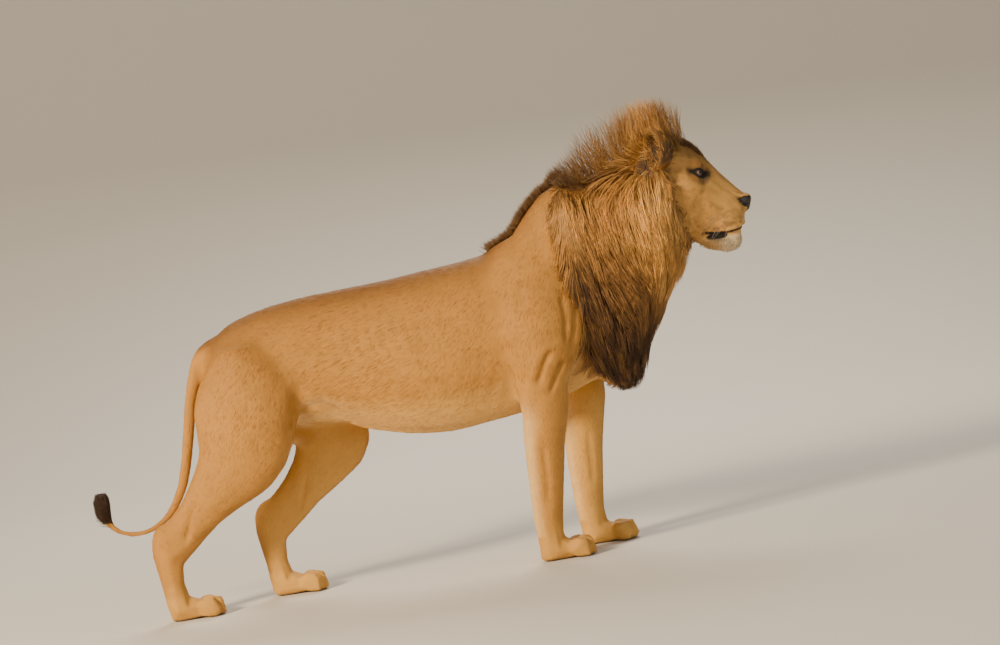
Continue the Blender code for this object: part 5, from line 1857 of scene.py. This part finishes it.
surface_share *= 0.35 + 0.65 * step(np.interp(pz, *FACE_LINE) - px, 0.0, 0.035)
depth = cover_over(aimed, outward)
covered = depth > UNCOVERED
lift = np.where(depth > 0, depth * surface_share, depth - 0.002) * (1 - on_withers)
lifted = aimed + outward * lift[:, None]
tip = np.where(covered[:, None], lifted, root + (aimed - root) * 0.45)
print("mane depth, mean:", round(float(depth[covered].mean()), 3))

# %% [markdown]
# Long hair clings together. Each lock's tip is drawn part of the way to the tip of the nearest of many
# random locks. On the crest the hair stands more singly.

# %% Draw the tips into clumps
CLUMPS = 2600
centres = rng.choice(MANE_LOCKS, CLUMPS, replace=False)
finder = KDTree(CLUMPS)
for i, centre in enumerate(centres):
    finder.insert(root[centre], i)
finder.balance()
clump = np.array([finder.find(point)[1] for point in root])
pull = (rng.uniform(0.35, 0.80, MANE_LOCKS) * (1 - 0.55 * on_crest))[:, None]
tip = tip + (tip[centres[clump]] - tip) * pull
span = tip - root
middle = root + span * 0.42 + unit(normal + outward * 0.6) * np.linalg.norm(span, axis=1)[:, None] * 0.20
print("locks in a clump, mean:", round(MANE_LOCKS / CLUMPS, 1))

# %% [markdown]
# ### Colours of the mane
#
# A young male's mane is golden round the face and darkens down and back to a nearly black bib. Each
# colour is a mask by place, and a dark patch under the jaw is painted shadow. Every clump and every lock
# then has its own tone, a few clumps are pale, and locks deep in the mane are darker, as painted shade inside
# the mane.

# %% Colours of the mane
GOLD = np.array((0.70, 0.350, 0.085))
STRAW = np.array((0.88, 0.50, 0.130))
BROWN = np.array((0.200, 0.088, 0.022))
UMBER = np.array((0.048, 0.020, 0.007))


def mane_tints(points):
    """Golden cheeks and throat, a brown crest and nape, a dark bib, and a painted shadow under the jaw."""
    local = points - FOREFOOT
    px, _, pz = local.T
    made = np.tile(GOLD, (len(points), 1))

    def mix(other, mask):
        mask = np.clip(mask, 0, 1)[:, None]
        made[:] = made * (1 - mask) + other * mask

    mix(STRAW, 1.1 * np.exp(-((px - 0.510) / 0.065) ** 2 - ((pz - 1.060) / 0.150) ** 2))
    above_cheek = 1 - 0.65 * step(px, 0.38, 0.46) * step(px, 0.60, 0.54)
    mix(BROWN, 0.80 * step(pz - 0.62 * px, 1.02, 1.10) * above_cheek)
    mix(UMBER, 0.28 * step(px, 0.36, 0.22) * step(pz - 0.62 * px, 1.03, 1.09))
    mix(BROWN, 0.32 * np.exp(-((px - 0.325) / 0.050) ** 2) * step(pz, 0.84, 0.96) * step(pz, 1.30, 1.20))
    mix(BROWN, 0.80 * step(px + 0.50 * pz, 0.94, 0.84) * step(pz, 1.08, 0.93))
    mix(UMBER, 0.90 * step(px + pz, 1.23, 1.06) * step(pz, 1.00, 0.88))
    mix(UMBER, 0.80 * step(pz, 0.70, 0.60))
    # painted shadow: dark locks on the throat just under the jaw
    mix(UMBER, 0.75 * np.exp(-((px - 0.585) / 0.030) ** 2 - ((pz - 0.960) / 0.055) ** 2))
    mix(GOLD, 0.35 * step(pz, 1.33, 1.39) * step(px, 0.38, 0.44))
    return made


tone = (0.75 + 0.45 * rng.uniform(0, 1, CLUMPS))[clump] * rng.uniform(0.80, 1.20, MANE_LOCKS)
# locks whose tips lie deep in the mane are darkened: painted shade inside the mane
under = (surface_share - 0.44) / 0.60  # locks deep in the mane are darker
tone *= 0.76 + 0.40 * under
strays = rng.normal(0, 0.026, (CLUMPS, 3))[clump] + rng.normal(0, 0.014, root.shape)
tint_root = mane_tints(root + strays) * 0.72 * tone[:, None]
tint_tip = mane_tints(tip + strays) * 1.10 * tone[:, None]
golden_top = np.exp(-((tip[:, 0] - FOREFOOT[0] - 0.50) / 0.050) ** 2)
tint_tip *= (1 - 0.50 * on_crest * (1 - 0.75 * golden_top))[:, None]
coat_there = skin_there * tone[:, None]
tint_root, tint_tip = (tint + (coat_there - tint) * 0.9 * at_edge[:, None] for tint in (tint_root, tint_tip))
streak = ((rng.uniform(0, 1, CLUMPS) > 0.72)[clump] * (1 - on_crest) * 0.35)[:, None]
tint_root, tint_tip = (tint * (1 - streak) + GOLD * 0.55 * streak for tint in (tint_root, tint_tip))
width = rng.uniform(0.0020, 0.0038, MANE_LOCKS) * (1 - 0.35 * on_crest)
wave = 0.020 + 0.045 * on_crest[:, None]
print("mane colour, mean:", tint_root.mean(0).round(3).tolist())

# %% The mane in four pieces, from the bottom up
order = np.argsort(root[:, 0] * 0.4 + root[:, 2])
PIECES = 4
for number, chosen in enumerate(np.array_split(order, PIECES), 1):
    lock_piece(f"mane_{number}", root[chosen], middle[chosen], tip[chosen], normal[chosen],
               width[chosen], tint_root[chosen], tint_tip[chosen], rng, wave[chosen])
for name in HAIR_NODES:
    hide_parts(name)

# %% [markdown]
# ## Tail tuft
#
# A dark tuft of longer hair ends the tail. Its locks follow the lie, and none reaches past the solid's top.

# %% Tail tuft
TAIL_LOCKS = 1500
rng = np.random.default_rng(12)
low, high = (np.array(corner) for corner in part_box("tail_tuft"))
on_tuft = step(np.linalg.norm(np.maximum(np.maximum(low - at, at - high), 0), axis=1), 0.030, 0.006)
root, normal, lie_there, _ = rooted(on_tuft * part("tail_tuft", "tail_curve"), TAIL_LOCKS, rng)
run = unit(lie_there + normal * 0.10)
reach = np.minimum(0.050, (high[2] - root[:, 2]).clip(0.012)) * rng.uniform(0.7, 1.0, TAIL_LOCKS)
middle = root + run * (reach * 0.5)[:, None] + normal * 0.004
tip = middle + run * (reach * 0.5)[:, None] - normal * 0.003
width = rng.uniform(0.0018, 0.0030, TAIL_LOCKS)
tint = np.tile(UMBER * 0.55, (TAIL_LOCKS, 1)) * rng.uniform(0.6, 1.5, (TAIL_LOCKS, 1))
lock_piece("tail_tuft_locks", root, middle, tip, normal, width, tint, tint * 1.3, rng)

# %% [markdown]
# ## Chin, ears and forehead
#
# Three more places have hair between coat and mane in length: a white beard on the chin, the edges of the
# ears, and a dark tuft on the forehead. They are the same blades, rooted through their own masks.

# %% Chin hair
CHIN_LOCKS = 2200
rng = np.random.default_rng(13)
on_chin = head_part * step(z, 0.990, 0.970) * step(x, 0.640, 0.670)
root, normal, lie_there, skin_there = rooted(on_chin, CHIN_LOCKS, rng)
run = unit(lie_there * 0.5 + np.array((0.25, 0, -1.0)) + rng.normal(0, 0.12, root.shape))
reach = rng.uniform(0.007, 0.013, CHIN_LOCKS) + 0.010 * step((root - FOREFOOT)[:, 0], 0.70, 0.74)
middle = root + run * (reach * 0.5)[:, None] + normal * 0.002
tip = root + run * reach[:, None]
width = rng.uniform(0.0012, 0.0020, CHIN_LOCKS)
tint = skin_there * rng.uniform(0.62, 1.12, (CHIN_LOCKS, 1))
lock_piece("chin_hair", root, middle, tip, normal, width, tint, tint * 1.1, rng)

# %% Hair on the edges of the ears
EAR_LOCKS = 1100
rng = np.random.default_rng(16)
on_edge = np.clip(rims * 1.2 + 0.25 * ear_part, 0, 1)
root, normal, lie_there, _ = rooted(on_edge, EAR_LOCKS, rng)
run = unit(lie_there * 0.8 + normal * 0.45 + np.array((-0.35, 0, 0.10)) + rng.normal(0, 0.22, root.shape))
reach = rng.uniform(0.012, 0.028, EAR_LOCKS)
middle = root + run * (reach * 0.5)[:, None] + normal * 0.0025
tip = root + run * reach[:, None]
width = rng.uniform(0.0012, 0.0022, EAR_LOCKS)
tint = GOLD * 0.9 + (BROWN - GOLD) * rng.uniform(0, 1, (EAR_LOCKS, 1)) ** 2
tint = tint * rng.uniform(0.6, 1.1, (EAR_LOCKS, 1))
lock_piece("ear_hair", root, middle, tip, normal, width, tint, tint * 1.2, rng)

# %% Dark fringe of the forehead
FRINGE_LOCKS = 1500
rng = np.random.default_rng(14)
on_fringe = head_part * step(abs(y), 0.055, 0.010) * step(z, 1.225, 1.30) * step(x, 0.60, 0.62)
root, normal, lie_there, _ = rooted(on_fringe, FRINGE_LOCKS, rng)
run = unit(lie_there + normal * 0.40 + rng.normal(0, 0.12, root.shape))
high_up = step((root - FOREFOOT)[:, 2], 1.235, 1.32)
reach = (0.008 + 0.024 * high_up) * rng.uniform(0.6, 1.15, FRINGE_LOCKS)
middle = root + run * (reach * 0.5)[:, None] + normal * 0.0020
tip = root + run * reach[:, None] + normal * 0.0010
width = rng.uniform(0.0013, 0.0024, FRINGE_LOCKS)
tint = np.tile(BROWN * 0.8, (FRINGE_LOCKS, 1)) * rng.uniform(0.4, 1.5, (FRINGE_LOCKS, 1))
lock_piece("fringe", root, middle, tip, normal, width, tint, tint * 1.3, rng)

# %% [markdown]
# ## Whiskers
#
# Whiskers are stiff, pale and few, four to a row here. Each starts where a ray from the side meets the
# lip at its spot. It sweeps back and droops a little at the tip.

# %% Whiskers
WHISKER_WIDTH, WHISKERS_IN_ROW = 0.0009, 4
WHISKER_COLOUR = (0.75, 0.68, 0.56)
rng = np.random.default_rng(15)
starts, ends, outs = [], [], []
for side in (RIGHT, LEFT):
    for row, (start, end, height) in enumerate(SPOT_ROWS):
        for spot_x in np.linspace(start, end, 6 - row % 2)[:WHISKERS_IN_ROW]:
            spot = Vector((spot_x, side * 0.20, height + SPOT_SLANT * (spot_x - SPOT_MIDDLE)))
            hit, facing, _, _ = skin_tree.ray_cast(spot + Vector(FOREFOOT), Vector((0, -side, 0)), 0.3)
            run = unit(np.array((-0.55, 0.80 * side, -0.10 - 0.12 * row)) + rng.normal(0, 0.08, 3))
            starts.append(np.array(hit) - run * 0.002)
            ends.append(run * rng.uniform(0.055, 0.095))
            outs.append(np.array(facing))
starts, ends, outs = (np.array(group) for group in (starts, ends, outs))
middle = starts + ends * 0.5 + outs * 0.004
tip = starts + ends + np.array((0.0, 0.0, -0.012))
upwards = np.tile((0, 0, 1.0), (len(starts), 1))
tint = np.tile(WHISKER_COLOUR, (len(starts), 1))
lock_piece("whiskers", starts, middle, tip, upwards, np.full(len(starts), WHISKER_WIDTH), tint,
           tint, rng)
